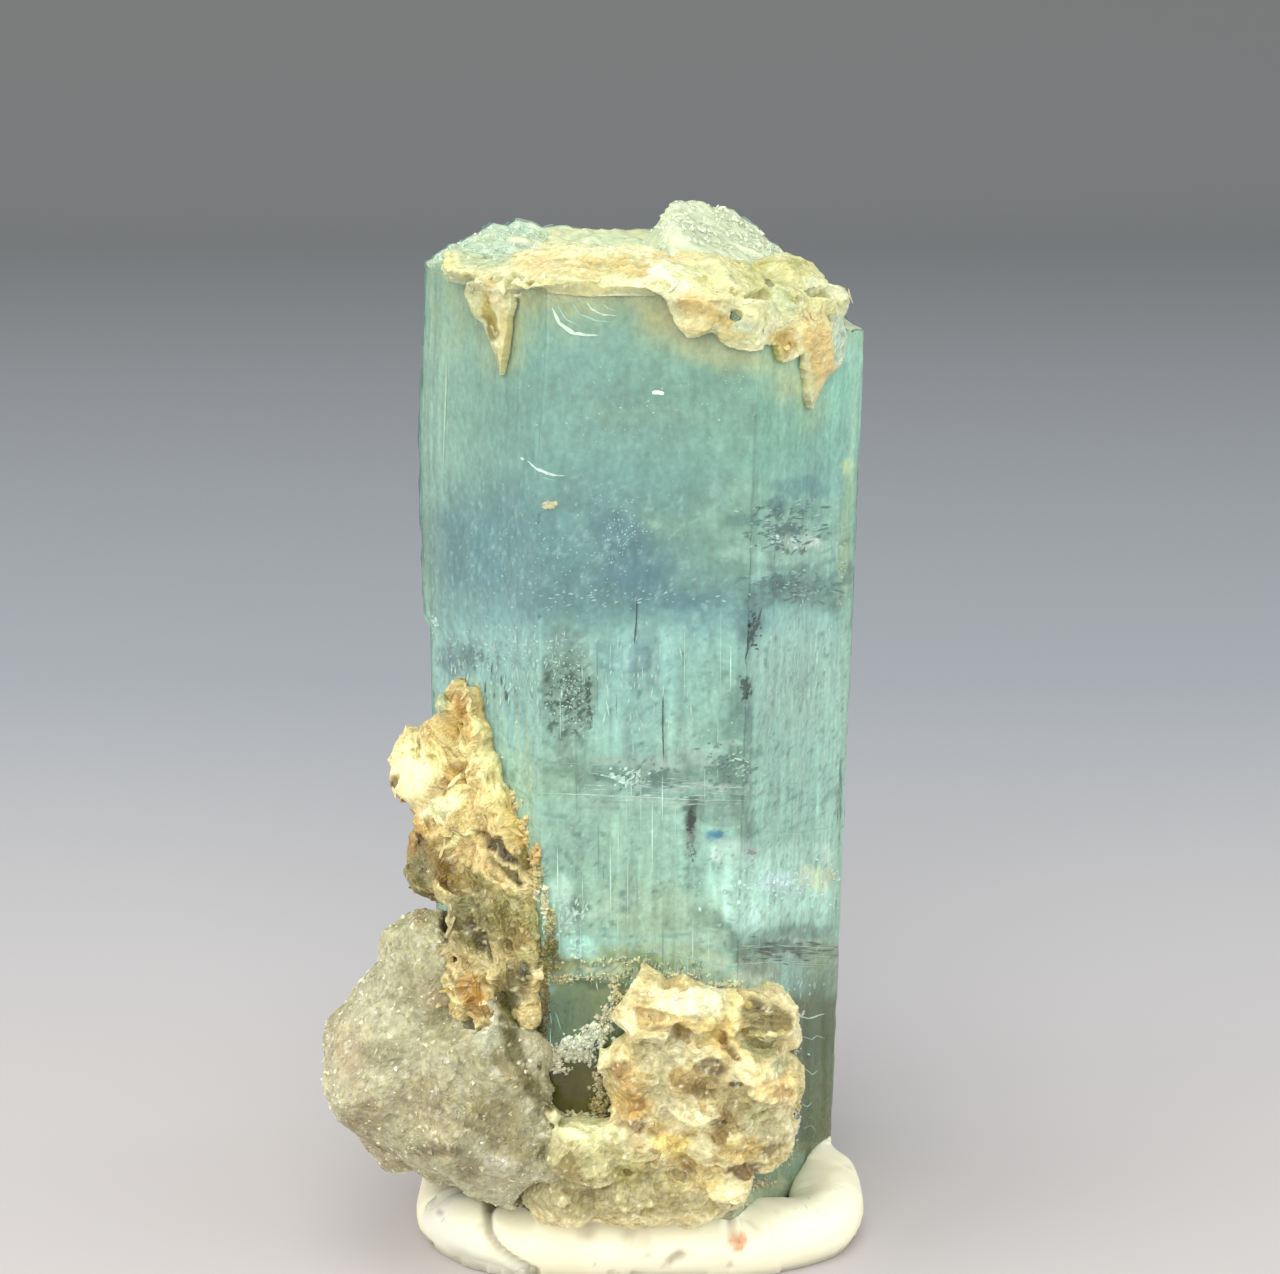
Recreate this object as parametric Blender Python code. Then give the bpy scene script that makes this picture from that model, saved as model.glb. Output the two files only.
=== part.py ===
"""Aquamarine crystal with its mica and feldspar matrix, standing in a ring of display putty.

Run with: blender --background --python part.py
Units are metres and +Z is up. The origin lies on the standing surface, under the middle of the
whole specimen. Each sub-part is one named object. Sizes below are in millimetres, measured from the
prism's own axis, and are scaled by MM.
"""

import math

import bmesh
import bpy
from mathutils import Vector, noise

MM = 0.001
GAP = 0.3  # clearance between neighbouring pieces
ORIGIN_X = -1.83  # where the origin lies, measured from the prism's axis
ORIGIN_Y = -0.84

# ---- the prism: six faces 60 degrees apart, each with its own distance from the axis ----
FACE_NORMALS = (-90, -30, 30, 90, 150, 210)  # degrees; the first one faces the front
FACE_REACH = (7.0, 7.3, 8.0, 7.6, 8.6, 6.78)
RIGHT_TAPER = 0.66  # how much closer the right-hand faces stand at the base
STEP_HEIGHT = 25.7  # below this ledge the left rear face stands back
STEP_DEPTH = 0.6
LEFT_TOP_TAPER = 0.35  # the left-hand faces lean in again under the upper end
BASE_Z = 1.2
FRONT_UNDERCUT = 1.5  # the front face stands back this far where it sits on the putty
UNDERCUT_HEIGHT = 1.9
TOP_Z = 40.1
STRIPS_PER_FACE = 6
GROOVE_DEPTH = 0.13
GROOVE_LEVELS = 2.2  # how many depths the growth grooves step through
GROOVES_PER_MM = 0.62
GROOVE_WANDER = 0.035  # how fast a groove changes along the prism's height
SIDE_LEVELS = (1.2, 2.1, 3.1, 8.2, 8.5, 14.0, 19.0, 25.5, 25.9, 31.0, 36.0)

# ---- the broken upper end: a flat, a mound behind its middle and a shoulder sloping right ----
MOUND_HEIGHT = 1.4
MOUND_LEFT = 0.2
MOUND_FRONT = -1.6
MOUND_SIDE_WIDTH = 1.3  # the mound's left side rises over this width
MOUND_FRONT_WIDTH = 2.4
MOUND_REAR_START = 4.6  # behind this line the mound falls away again
MOUND_REAR_END = 7.4
MOUND_REAR_FALL = 0.6
SHOULDER_START = 1.9
SHOULDER_FALL = 0.57
SHOULDER_RISE_BACK = 0.12
CORNER_DROP = 0.8  # the left corner is rounded off
CORNER_START = 6.4
CORNER_END = 8.8
TOP_ROUGHNESS = ((0.45, 0.25, 3.0), (1.1, 0.2, 9.0))  # waves per mm, height, place in the noise
TOP_RINGS = (0.93, 0.74, 0.52, 0.3, 0.12)

# ---- putty ring ----
STRAND_RADIUS = 1.33
STRAND_CENTRE_Z = 1.2
STRAND_UNEVENNESS = 0.05
SOLE_HEIGHT = 0.35  # the strand is pressed flat below this height
STRAND_SIDES = 12
RING_FRONT_Y = -6.1
RING_BACK_Y = 7.0
RING_WIDEST_Y = -2.9
RING_HALF_WIDTH = 7.95
RING_SQUARENESS_FRONT = 2.7
RING_SQUARENESS_BACK = 2.1
RING_STEPS = 44
TAIL_STEPS = 9
TAIL_START_ANGLE = math.radians(196)
TAIL_END_ANGLE = math.radians(244)
TAIL_OFFSET = 0.6
TAIL_THICK = 0.92  # the tail's radius at its root and tip, as parts of the strand's
TAIL_THIN = 0.30
TAIL_SINK = 0.9  # the tail's middle line lies this part of its radius above the ground

# ---- lumps: centre x, y, z and half-sizes x, y, z, in millimetres ----
TOP_CARPET = (
    (-6.7, -1.9, 40.0, 1.7, 1.6, 0.65),
    (-4.6, -3.5, 40.1, 1.9, 2.2, 0.70),
    (-3.0, -0.9, 40.2, 2.2, 2.6, 0.70),
    (-2.5, -5.4, 40.2, 2.3, 2.2, 0.80),
    (-0.7, -2.3, 40.2, 2.3, 3.0, 0.80),
    (0.6, -5.6, 40.2, 2.2, 2.0, 0.85),
    (2.5, -4.0, 39.9, 2.2, 2.5, 1.15),
    (4.6, -3.2, 38.9, 2.0, 2.3, 1.20),
    (5.3, -0.3, 39.3, 1.9, 2.4, 1.00),
    (6.9, 0.6, 38.2, 1.5, 2.2, 0.95),
)
FRONT_EDGE_DRIPS = (
    (-3.0, -6.9, 39.9, 1.7, 1.10, 0.70),
    (-0.6, -7.1, 39.9, 1.9, 1.05, 0.65),
    (1.9, -7.1, 39.4, 1.7, 1.15, 1.10),
    (3.9, -6.7, 38.7, 1.6, 1.25, 1.10),
    (5.3, -5.4, 38.0, 1.3, 1.30, 1.10),
    (6.5, -3.7, 37.5, 1.5, 1.40, 1.75),
    (6.6, -3.8, 35.8, 0.7, 0.90, 1.00),
    (-5.4, -4.7, 39.3, 1.2, 1.20, 1.20),
    (-5.3, -4.7, 38.2, 0.8, 0.95, 1.90),
)
MICA_CORE = (
    (-7.3, -1.6, 21.7, 0.9, 1.0, 1.9),
    (-8.9, -0.6, 20.0, 1.2, 1.3, 1.4),
    (-7.3, -2.2, 19.0, 2.0, 1.5, 2.0),
    (-6.6, -3.0, 16.8, 2.2, 1.7, 2.1),
    (-8.3, -1.4, 15.9, 1.3, 1.5, 1.9),
    (-5.9, -4.3, 14.6, 1.9, 1.6, 2.2),
    (-5.6, -5.1, 12.2, 1.4, 1.3, 1.7),
)
# mica books: centre x, y, z, radius and thickness
MICA_BOOKS = (
    (-7.3, -2.1, 22.6, 0.9, 0.7),
    (-7.6, -1.8, 21.0, 1.4, 0.8),
    (-8.7, -1.3, 19.2, 1.5, 0.7),
    (-6.9, -2.7, 20.0, 1.5, 0.7),
    (-6.2, -3.5, 18.6, 1.7, 0.8),
    (-7.8, -2.6, 17.6, 1.7, 0.7),
    (-5.5, -4.6, 17.0, 1.5, 0.7),
    (-6.8, -3.9, 15.9, 1.9, 0.8),
    (-8.4, -2.3, 15.4, 1.2, 0.6),
    (-5.2, -5.3, 15.1, 1.4, 0.8),
    (-6.3, -4.9, 13.8, 1.7, 0.7),
    (-4.9, -6.0, 13.2, 1.3, 0.7),
    (-5.7, -6.0, 11.6, 1.3, 0.7),
)
BOOK_NORMAL = Vector((0.56, -0.42, 0.71))
ALBITE_LUMPS = (
    (-9.3, -4.2, 8.1, 3.6, 4.0, 3.9),
    (-8.1, -3.6, 11.7, 2.3, 3.2, 3.0),
    (-7.0, -5.4, 7.4, 3.0, 3.6, 4.0),
    (-5.7, -6.3, 9.4, 2.0, 2.2, 2.6),
    (-4.9, -6.7, 5.8, 2.5, 2.2, 2.7),
    (-7.0, -7.0, 6.1, 1.6, 1.7, 1.5),
    (-9.0, -0.9, 8.0, 2.6, 2.2, 3.2),
)
CRUST_LUMPS = (
    (-2.3, -7.4, 13.6, 2.0, 1.10, 0.60),
    (-0.2, -7.5, 12.5, 1.2, 1.30, 1.60),
    (1.6, -7.5, 12.1, 2.2, 1.35, 1.20),
    (3.8, -7.2, 11.6, 1.9, 1.40, 1.20),
    (5.2, -6.3, 10.9, 1.3, 1.80, 1.30),
    (-2.4, -7.4, 9.8, 1.9, 1.10, 0.50),
    (-0.2, -7.6, 9.6, 1.3, 1.45, 1.70),
    (1.9, -7.7, 9.8, 1.9, 1.55, 1.80),
    (4.0, -7.3, 9.3, 1.9, 1.60, 1.90),
    (5.4, -6.2, 8.3, 1.2, 1.80, 1.60),
    (-3.6, -7.0, 8.4, 0.8, 1.20, 1.60),
    (0.4, -7.7, 6.9, 2.2, 1.60, 2.00),
    (3.0, -7.5, 6.6, 2.2, 1.60, 2.10),
    (4.8, -6.7, 6.0, 1.4, 1.60, 1.50),
    (-2.2, -7.7, 5.9, 2.0, 1.60, 1.40),
    (-3.0, -7.1, 4.1, 1.9, 1.60, 1.70),
    (-0.3, -7.2, 4.0, 2.4, 1.60, 1.75),
    (2.3, -7.1, 4.1, 2.0, 1.50, 1.60),
)
# thin mica flakes standing out of the crust: centre x, y, z, radius and thickness
CRUST_FLAKES = (
    (5.0, -7.4, 11.7, 1.35, 0.45),
    (2.2, -8.8, 8.7, 1.35, 0.40),
    (5.6, -7.2, 9.0, 1.00, 0.40),
    (0.3, -8.6, 12.0, 1.30, 0.40),
    (3.4, -8.6, 5.2, 1.20, 0.40),
)
FLAKE_NORMAL = Vector((0.2, -0.45, 0.87))

LUMP_ROUGHNESS = 0.34
LARGE_LUMP = 3.4  # lumps wider than this get finer facets
BROAD_WAVES = 1.6
FINE_WAVES = 4.1
FINE_SHARE = 0.4
BOOK_SIDES = 6
BOOK_WOBBLE = 0.9  # how far single mica books turn away from their common normal
BOOK_UNEVENNESS = 0.22
TOP_SEED = 40
MICA_SEED = 70
CRUST_SEED = 90
ALBITE_SEED = 5


def smooth(value, low, high):
    """Rise smoothly from 0 at low to 1 at high."""
    t = min(1.0, max(0.0, (value - low) / (high - low)))
    return t * t * (3.0 - 2.0 * t)


def face_reaches(z, grow):
    """Distance of each prism face from the axis at height z."""
    right = RIGHT_TAPER * (1.0 - min(z, TOP_Z) / TOP_Z)
    left = LEFT_TOP_TAPER * smooth(z, 32.0, TOP_Z)
    ledge = STEP_DEPTH * (1.0 - smooth(z, STEP_HEIGHT - 0.2, STEP_HEIGHT + 0.2))
    front = FRONT_UNDERCUT * (1.0 - smooth(z, BASE_Z, BASE_Z + UNDERCUT_HEIGHT))
    back_off = (front, right, right, 0.0, left + ledge, left)
    return [reach - back_off[i] + grow for i, reach in enumerate(FACE_REACH)]


def groove(face, along, z):
    """Depth of the long growth grooves, in three flat levels."""
    wave = noise.noise(Vector((face * 5.3, along * GROOVES_PER_MM, z * GROOVE_WANDER)))
    return GROOVE_DEPTH * round(GROOVE_LEVELS * wave)


def face_normal(index):
    """Outward direction of one prism face."""
    angle = math.radians(FACE_NORMALS[index % 6])
    return Vector((math.cos(angle), math.sin(angle), 0.0))


def corner(reaches, index):
    """Where face index meets the next face round."""
    a, b = face_normal(index), face_normal(index + 1)
    r, s = reaches[index], reaches[(index + 1) % 6]
    span = a.x * b.y - a.y * b.x
    return Vector(((r * b.y - s * a.y) / span, (s * a.x - r * b.x) / span, 0.0))


def outline(z, grow, strips):
    """The prism's section at height z, counter-clockwise, with strips points on each face."""
    reaches = face_reaches(z, grow)
    points = []
    for face in range(6):
        start, end = corner(reaches, face - 1), corner(reaches, face)
        outward = face_normal(face)
        for k in range(strips):
            point = start.lerp(end, k / strips)
            depth = 0.0 if k == 0 else groove(face, (point - start).length, z)
            points.append(point - outward * (depth if grow == 0.0 else -GROOVE_DEPTH))
    return points


def top_height(x, y):
    """Height of the broken upper end over (x, y)."""
    rough = sum(height * noise.noise(Vector((x * waves, y * waves, place)))
                for waves, height, place in TOP_ROUGHNESS)
    mound = MOUND_HEIGHT * smooth(x, MOUND_LEFT, MOUND_LEFT + MOUND_SIDE_WIDTH)
    mound *= smooth(y, MOUND_FRONT, MOUND_FRONT + MOUND_FRONT_WIDTH)
    mound *= 1.0 - MOUND_REAR_FALL * smooth(y, MOUND_REAR_START, MOUND_REAR_END)
    flat = TOP_Z + mound - CORNER_DROP * smooth(-x, CORNER_START, CORNER_END)
    shoulder = TOP_Z - SHOULDER_FALL * (x - SHOULDER_START)
    shoulder += SHOULDER_RISE_BACK * (y + FACE_REACH[0])
    return min(flat, shoulder) + rough


def bridge(bm, lower, upper):
    """Join two rings of points with a band of four-sided faces."""
    for k in range(len(lower)):
        j = (k + 1) % len(lower)
        bm.faces.new((lower[k], lower[j], upper[j], upper[k]))


def prism(name, grow):
    """The hexagonal prism with its grooves and broken upper end, grown outwards by grow."""
    bm = bmesh.new()
    rings = []
    for z in SIDE_LEVELS:
        level = z - grow if z == BASE_Z else z
        rings.append([bm.verts.new((p.x, p.y, level)) for p in outline(z, grow, STRIPS_PER_FACE)])
    rim = outline(TOP_Z, grow, STRIPS_PER_FACE)
    for scale in (1.0,) + TOP_RINGS:
        spots = [(p.x * scale, p.y * scale) for p in rim]
        rings.append([bm.verts.new((x, y, top_height(x, y) + grow)) for x, y in spots])
    for lower, upper in zip(rings, rings[1:]):
        bridge(bm, lower, upper)
    bm.faces.new(reversed(rings[0]))
    bm.faces.new(rings[-1])
    return to_object(name, bm)


def lump(name, spec, seed, grow):
    """A rounded, faceted lump of grown mineral."""
    centre, half = Vector(spec[:3]), spec[3:]
    detail = 3 if max(half) > LARGE_LUMP else 2
    bm = bmesh.new()
    bmesh.ops.create_icosphere(bm, subdivisions=detail, radius=1.0)
    shift = Vector((seed * 3.7, seed * 1.9, seed * 0.83))
    for vert in bm.verts:
        out = vert.co.normalized()
        swell = 1.0 + LUMP_ROUGHNESS * noise.noise(out * BROAD_WAVES + shift)
        swell += FINE_SHARE * LUMP_ROUGHNESS * noise.noise(out * FINE_WAVES + shift)
        vert.co = centre + Vector([out[i] * (half[i] * swell + grow) for i in range(3)])
    return to_object(name, bm)


def book(name, spec, seed, normal, grow):
    """A mica book: a short six-sided stack lying square to its own tilted axis."""
    centre, radius, thickness = Vector(spec[:3]), spec[3] + grow, spec[4] + 2.0 * grow
    wobble = Vector([noise.noise(Vector((seed * 2.3, axis * 5.0, 1.0))) for axis in range(3)])
    turn = (normal + BOOK_WOBBLE * wobble).normalized().to_track_quat("Z", "Y")
    bm = bmesh.new()
    rings = []
    for side in (-0.5, 0.5):
        ring = []
        for k in range(BOOK_SIDES):
            angle = 2.0 * math.pi * k / BOOK_SIDES + 0.3 * seed
            reach = radius * (1.0 + BOOK_UNEVENNESS * noise.noise(Vector((k * 1.9, seed * 2.7, side))))
            spot = Vector((reach * math.cos(angle), reach * math.sin(angle), side * thickness))
            ring.append(bm.verts.new(centre + turn @ spot))
        rings.append(ring)
    bridge(bm, rings[0], rings[1])
    bm.faces.new(reversed(rings[0]))
    bm.faces.new(rings[1])
    return to_object(name, bm)


def ring_point(angle):
    """A point of the putty ring's middle line; angle 0 is at the right, rising counter-clockwise."""
    c, s = math.cos(angle), math.sin(angle)
    power = RING_SQUARENESS_FRONT if s < 0 else RING_SQUARENESS_BACK
    depth = RING_WIDEST_Y - RING_FRONT_Y if s < 0 else RING_BACK_Y - RING_WIDEST_Y
    x = RING_HALF_WIDTH * math.copysign(abs(c) ** (2.0 / power), c)
    y = RING_WIDEST_Y + depth * math.copysign(abs(s) ** (2.0 / power), s)
    return Vector((x, y, STRAND_CENTRE_Z))


def strand(bm, path, radii, closed):
    """Sweep a round putty strand along path, flat where it stands on the ground."""
    rings = []
    count = len(path)
    for i, (point, radius) in enumerate(zip(path, radii)):
        before = path[(i - 1) % count] if closed or i > 0 else point
        after = path[(i + 1) % count] if closed or i < count - 1 else point
        along = (after - before).normalized()
        across = along.cross(Vector((0, 0, 1))).normalized()
        ring = []
        for k in range(STRAND_SIDES):
            angle = 2.0 * math.pi * (k + 0.5) / STRAND_SIDES
            spot = point + radius * (math.cos(angle) * across + math.sin(angle) * Vector((0, 0, 1)))
            ring.append(bm.verts.new((spot.x, spot.y, spot.z if spot.z > SOLE_HEIGHT else 0.0)))
        rings.append(ring)
    for one, two in zip(rings, rings[1:]):
        bridge(bm, one, two)
    if closed:
        bridge(bm, rings[-1], rings[0])
    else:
        bm.faces.new(reversed(rings[0]))
        bm.faces.new(rings[-1])


def putty_loop():
    """The closed part of the ring."""
    bm = bmesh.new()
    path = [ring_point(2.0 * math.pi * i / RING_STEPS) for i in range(RING_STEPS)]
    radii = [STRAND_RADIUS * (1.0 + STRAND_UNEVENNESS * noise.noise(p * 0.31)) for p in path]
    strand(bm, path, radii, True)
    return to_object("putty_ring", bm)


def putty_tail():
    """The strand's tapered end, lapped over the front of its other end."""
    bm = bmesh.new()
    path, radii = [], []
    for i in range(TAIL_STEPS):
        t = i / (TAIL_STEPS - 1)
        angle = TAIL_START_ANGLE + (TAIL_END_ANGLE - TAIL_START_ANGLE) * t
        out = TAIL_OFFSET * math.sin(0.5 * math.pi * t)
        spot = ring_point(angle)
        radius = STRAND_RADIUS * (TAIL_THICK + (TAIL_THIN - TAIL_THICK) * t)
        path.append(Vector((spot.x, spot.y - out, radius * TAIL_SINK)))
        radii.append(radius)
    strand(bm, path, radii, False)
    return to_object("putty_tail", bm)


def to_object(name, bm):
    """Put a bmesh drawn in millimetres from the prism's axis into a new object, in metres."""
    bmesh.ops.translate(bm, vec=(-ORIGIN_X, -ORIGIN_Y, 0.0), verts=bm.verts)
    bmesh.ops.scale(bm, vec=(MM, MM, MM), verts=bm.verts)
    bmesh.ops.recalc_face_normals(bm, faces=bm.faces)
    mesh = bpy.data.meshes.new(name)
    bm.to_mesh(mesh)
    bm.free()
    obj = bpy.data.objects.new(name, mesh)
    bpy.context.scene.collection.objects.link(obj)
    return obj


def hide(obj, group):
    """Move a helper shape into its group, out of the model."""
    bpy.context.scene.collection.objects.unlink(obj)
    group.objects.link(obj)
    obj.hide_render = True
    obj.display_type = "WIRE"


def group_of(name, shapes):
    """Collect helper shapes for one Boolean."""
    group = bpy.data.collections.new(name)
    bpy.context.scene.collection.children.link(group)
    for shape in shapes:
        hide(shape, group)
    return group


def combine(obj, operation, group):
    """Join a group of shapes to obj, or cut them out of it."""
    step = obj.modifiers.new(operation.lower(), "BOOLEAN")
    step.operation = operation
    step.operand_type = "COLLECTION"
    step.collection = group
    step.solver = "EXACT"


def paint(obj, colour, roughness, transmission=0.0):
    """Give obj its own plain material."""
    material = bpy.data.materials.new(obj.name)
    material.use_nodes = True
    shader = material.node_tree.nodes["Principled BSDF"]
    shader.inputs["Base Color"].default_value = (*colour, 1.0)
    shader.inputs["Roughness"].default_value = roughness
    shader.inputs["Transmission Weight"].default_value = transmission
    material.diffuse_color = (*colour, 1.0)
    obj.data.materials.append(material)


def lumps(prefix, specs, first_seed, grow=0.0):
    """One lump for each row of specs."""
    return [lump(f"{prefix}_{i:02d}", spec, first_seed + i, grow) for i, spec in enumerate(specs)]


def books(prefix, specs, normal, grow=0.0):
    """One mica book for each row of specs."""
    return [book(f"{prefix}_{i:02d}", spec, i, normal, grow) for i, spec in enumerate(specs)]


def fuse(name, shapes):
    """Join overlapping shapes into one named body."""
    shapes[0].name = name
    combine(shapes[0], "UNION", group_of(f"{name}_shapes", shapes[1:]))
    return shapes[0]


def build():
    """Model every piece and cut each clear of its neighbours."""
    for old in list(bpy.data.objects):
        bpy.data.objects.remove(old)
    crystal = prism("aquamarine_crystal", 0.0)
    paint(crystal, (0.42, 0.66, 0.58), 0.08, transmission=0.9)
    seat = group_of("crystal_clearance", [prism("crystal_grown", GAP)])

    top = fuse("top_mica_crust", lumps("top", TOP_CARPET + FRONT_EDGE_DRIPS, TOP_SEED))
    combine(top, "DIFFERENCE", seat)
    paint(top, (0.85, 0.77, 0.52), 0.6)

    books_of_side = books("book", MICA_BOOKS, BOOK_NORMAL)
    mica = fuse("left_mica_cluster", lumps("mica", MICA_CORE, MICA_SEED) + books_of_side)
    combine(mica, "DIFFERENCE", seat)
    paint(mica, (0.62, 0.48, 0.24), 0.35)
    grown_books = books("book_grown", MICA_BOOKS, BOOK_NORMAL, GAP)
    mica_room = group_of("mica_clearance", lumps("mica_grown", MICA_CORE, MICA_SEED, GAP) + grown_books)

    flakes = books("flake", CRUST_FLAKES, FLAKE_NORMAL)
    crust = fuse("front_matrix_crust", lumps("crust", CRUST_LUMPS, CRUST_SEED) + flakes)
    combine(crust, "DIFFERENCE", seat)
    combine(crust, "DIFFERENCE", mica_room)
    paint(crust, (0.72, 0.60, 0.38), 0.6)
    crust_room = group_of("crust_clearance", lumps("crust_grown", CRUST_LUMPS, CRUST_SEED, GAP))

    albite = fuse("albite_lump", lumps("albite", ALBITE_LUMPS, ALBITE_SEED))
    combine(albite, "DIFFERENCE", seat)
    combine(albite, "DIFFERENCE", mica_room)
    combine(albite, "DIFFERENCE", crust_room)
    paint(albite, (0.60, 0.56, 0.42), 0.55)
    albite_room = group_of("albite_clearance", lumps("albite_grown", ALBITE_LUMPS, ALBITE_SEED, GAP))

    putty = putty_loop()
    combine(putty, "UNION", group_of("putty_shapes", [putty_tail()]))
    combine(putty, "DIFFERENCE", seat)
    combine(putty, "DIFFERENCE", crust_room)
    combine(putty, "DIFFERENCE", albite_room)
    paint(putty, (0.84, 0.77, 0.58), 0.6)


build()
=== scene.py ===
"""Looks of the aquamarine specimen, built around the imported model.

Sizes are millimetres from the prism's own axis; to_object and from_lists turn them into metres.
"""

import math
import random

import bmesh
import bpy
import numpy as np
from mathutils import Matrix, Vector, noise
from mathutils.bvhtree import BVHTree


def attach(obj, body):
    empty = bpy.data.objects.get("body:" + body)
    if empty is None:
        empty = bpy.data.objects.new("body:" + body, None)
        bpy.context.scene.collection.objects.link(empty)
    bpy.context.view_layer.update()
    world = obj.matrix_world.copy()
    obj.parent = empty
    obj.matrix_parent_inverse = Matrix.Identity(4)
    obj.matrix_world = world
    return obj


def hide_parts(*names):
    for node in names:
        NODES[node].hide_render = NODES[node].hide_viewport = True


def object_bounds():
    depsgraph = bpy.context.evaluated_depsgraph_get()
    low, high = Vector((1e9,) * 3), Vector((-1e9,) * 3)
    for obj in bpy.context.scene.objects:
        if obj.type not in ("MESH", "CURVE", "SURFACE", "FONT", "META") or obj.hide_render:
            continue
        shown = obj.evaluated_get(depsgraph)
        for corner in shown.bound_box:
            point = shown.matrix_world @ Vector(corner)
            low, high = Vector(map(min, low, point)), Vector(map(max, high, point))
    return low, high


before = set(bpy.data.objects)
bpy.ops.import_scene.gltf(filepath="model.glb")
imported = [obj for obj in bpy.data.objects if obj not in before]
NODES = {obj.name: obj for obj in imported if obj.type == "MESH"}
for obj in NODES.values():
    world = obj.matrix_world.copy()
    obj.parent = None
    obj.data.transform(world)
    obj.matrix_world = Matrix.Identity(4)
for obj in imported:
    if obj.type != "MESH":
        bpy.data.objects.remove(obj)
CAD_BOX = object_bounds()
MM = 0.001
AXIS = Vector((1.83, 0.84, 0.0))  # the prism's axis, seen from the model's origin

# ---- the prism, as in the solid model (millimetres and degrees) ----
FACE_NORMALS = (-90, -30, 30, 90, 150, 210)
FACE_REACH = (7.0, 7.3, 8.0, 7.6, 8.6, 6.78)
RIGHT_TAPER = 0.66
STEP_HEIGHT, STEP_DEPTH = 25.7, 0.6
LEFT_TOP_TAPER = 0.35
BASE_Z, TOP_Z = 1.2, 40.1
FRONT_UNDERCUT, UNDERCUT_HEIGHT = 1.5, 1.9
GROOVE_DEPTH = 0.13
MOUND_HEIGHT, MOUND_LEFT, MOUND_FRONT = 1.4, 0.2, -1.6
SHOULDER_START, SHOULDER_FALL, SHOULDER_RISE_BACK = 1.9, 0.57, 0.12
CORNER_DROP = 0.8
FINE_STRIPS = 52
FINE_LEVELS = 130
FINE_TOP_RINGS = 46

# ---- putty ring, as in the solid model (millimetres) ----
STRAND_RADIUS, STRAND_CENTRE_Z = 1.33, 1.2
RING_FRONT_Y, RING_BACK_Y, RING_WIDEST_Y = -6.25, 7.0, -2.9
RING_HALF_WIDTH = 7.95
RING_SQUARENESS_FRONT, RING_SQUARENESS_BACK = 2.7, 2.1

FRONT_PLANE = -7.0
EYE_DISTANCE, EYE_HEIGHT = 115.0, 60.0

BOOK_NORMAL = Vector((0.56, -0.42, 0.71)).normalized()


# ------------------------------------------------------------------ small helpers


def smooth(value, low, high):
    """Rise smoothly from 0 at low to 1 at high."""
    t = min(1.0, max(0.0, (value - low) / (high - low)))
    return t * t * (3.0 - 2.0 * t)


def to_object(name, bm, smooth_angle=None):
    """Put a bmesh drawn in millimetres from the prism's axis into a new object, in metres."""
    bmesh.ops.translate(bm, vec=AXIS, verts=bm.verts)
    bmesh.ops.scale(bm, vec=(MM, MM, MM), verts=bm.verts)
    mesh = bpy.data.meshes.new(name)
    bm.to_mesh(mesh)
    bm.free()
    obj = bpy.data.objects.new(name, mesh)
    bpy.context.scene.collection.objects.link(obj)
    if smooth_angle is not None:
        mesh.shade_smooth()
        mesh.set_sharp_from_angle(angle=math.radians(smooth_angle))
    return obj


def from_lists(name, verts, faces):
    """A new object from points in millimetres from the prism's axis."""
    mesh = bpy.data.meshes.new(name)
    placed = (np.asarray(verts, float) + np.array(AXIS)) * MM
    mesh.from_pydata([tuple(row) for row in placed], [], faces)
    mesh.update()
    obj = bpy.data.objects.new(name, mesh)
    bpy.context.scene.collection.objects.link(obj)
    return obj


def coordinates(mesh):
    """A mesh's vertices as rows, in millimetres from the prism's axis."""
    found = np.empty(len(mesh.vertices) * 3)
    mesh.vertices.foreach_get("co", found)
    return found.reshape(-1, 3) / MM - np.array(AXIS)


def store(mesh, name, values, kind="FLOAT"):
    """Write one value or colour for each vertex."""
    if kind == "FLOAT":
        layer = mesh.attributes.new(name, "FLOAT", "POINT")
        layer.data.foreach_set("value", np.asarray(values, np.float32))
    else:
        layer = mesh.attributes.new(name, "FLOAT_COLOR", "POINT")
        rows = np.ones((len(mesh.vertices), 4), np.float32)
        rows[:, :3] = values
        layer.data.foreach_set("color", rows.ravel())


def cell_value(cells, seed):
    """A repeatable value from 0 to 1 for each whole-number grid cell."""
    n = cells[:, 0] * 73856093 ^ cells[:, 1] * 19349663 ^ cells[:, 2] * 83492791 ^ (seed + 7) * 1640531513
    n = ((n ^ (n >> 13)) * 1274126177) & 0x7FFFFFFF
    return ((n ^ (n >> 15)) & 0xFFFF) / 65535.0


def clouds(points, size, seed, octaves=3):
    """Soft noise, about -1 to 1, with features of the given size in millimetres."""
    total, weight = 0.0, 0.0
    for octave in range(octaves):
        spot = points / np.asarray(size, float) * 2.0 ** octave + 17.3 * octave
        base = np.floor(spot).astype(np.int64)
        t = spot - base
        t = t * t * (3.0 - 2.0 * t)
        value = 0.0
        for corner_of_cell in range(8):
            step = np.array((corner_of_cell & 1, corner_of_cell >> 1 & 1, corner_of_cell >> 2))
            share = np.prod(np.where(step == 1, t, 1.0 - t), axis=1)
            value = value + share * cell_value(base + step, seed + octave)
        total = total + value * 0.55 ** octave
        weight += 0.55 ** octave
    return 1.5 * (2.0 * total / weight - 1.0)


def rise(values, low, high):
    """smooth() for whole arrays."""
    t = np.clip((values - low) / (high - low), 0.0, 1.0)
    return t * t * (3.0 - 2.0 * t)


def pigment(red, green, blue):
    """A screen colour as linear light."""
    c = np.array((red, green, blue)) / 255.0
    return np.where(c <= 0.04045, c / 12.92, ((c + 0.055) / 1.055) ** 2.4)


def seen_square(points):
    """Where each point shows on the plane of the front face, seen from the front."""
    t = (FRONT_PLANE + EYE_DISTANCE) / (points[:, 1] + EYE_DISTANCE)
    return points[:, 0] * t, EYE_HEIGHT + (points[:, 2] - EYE_HEIGHT) * t


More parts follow.
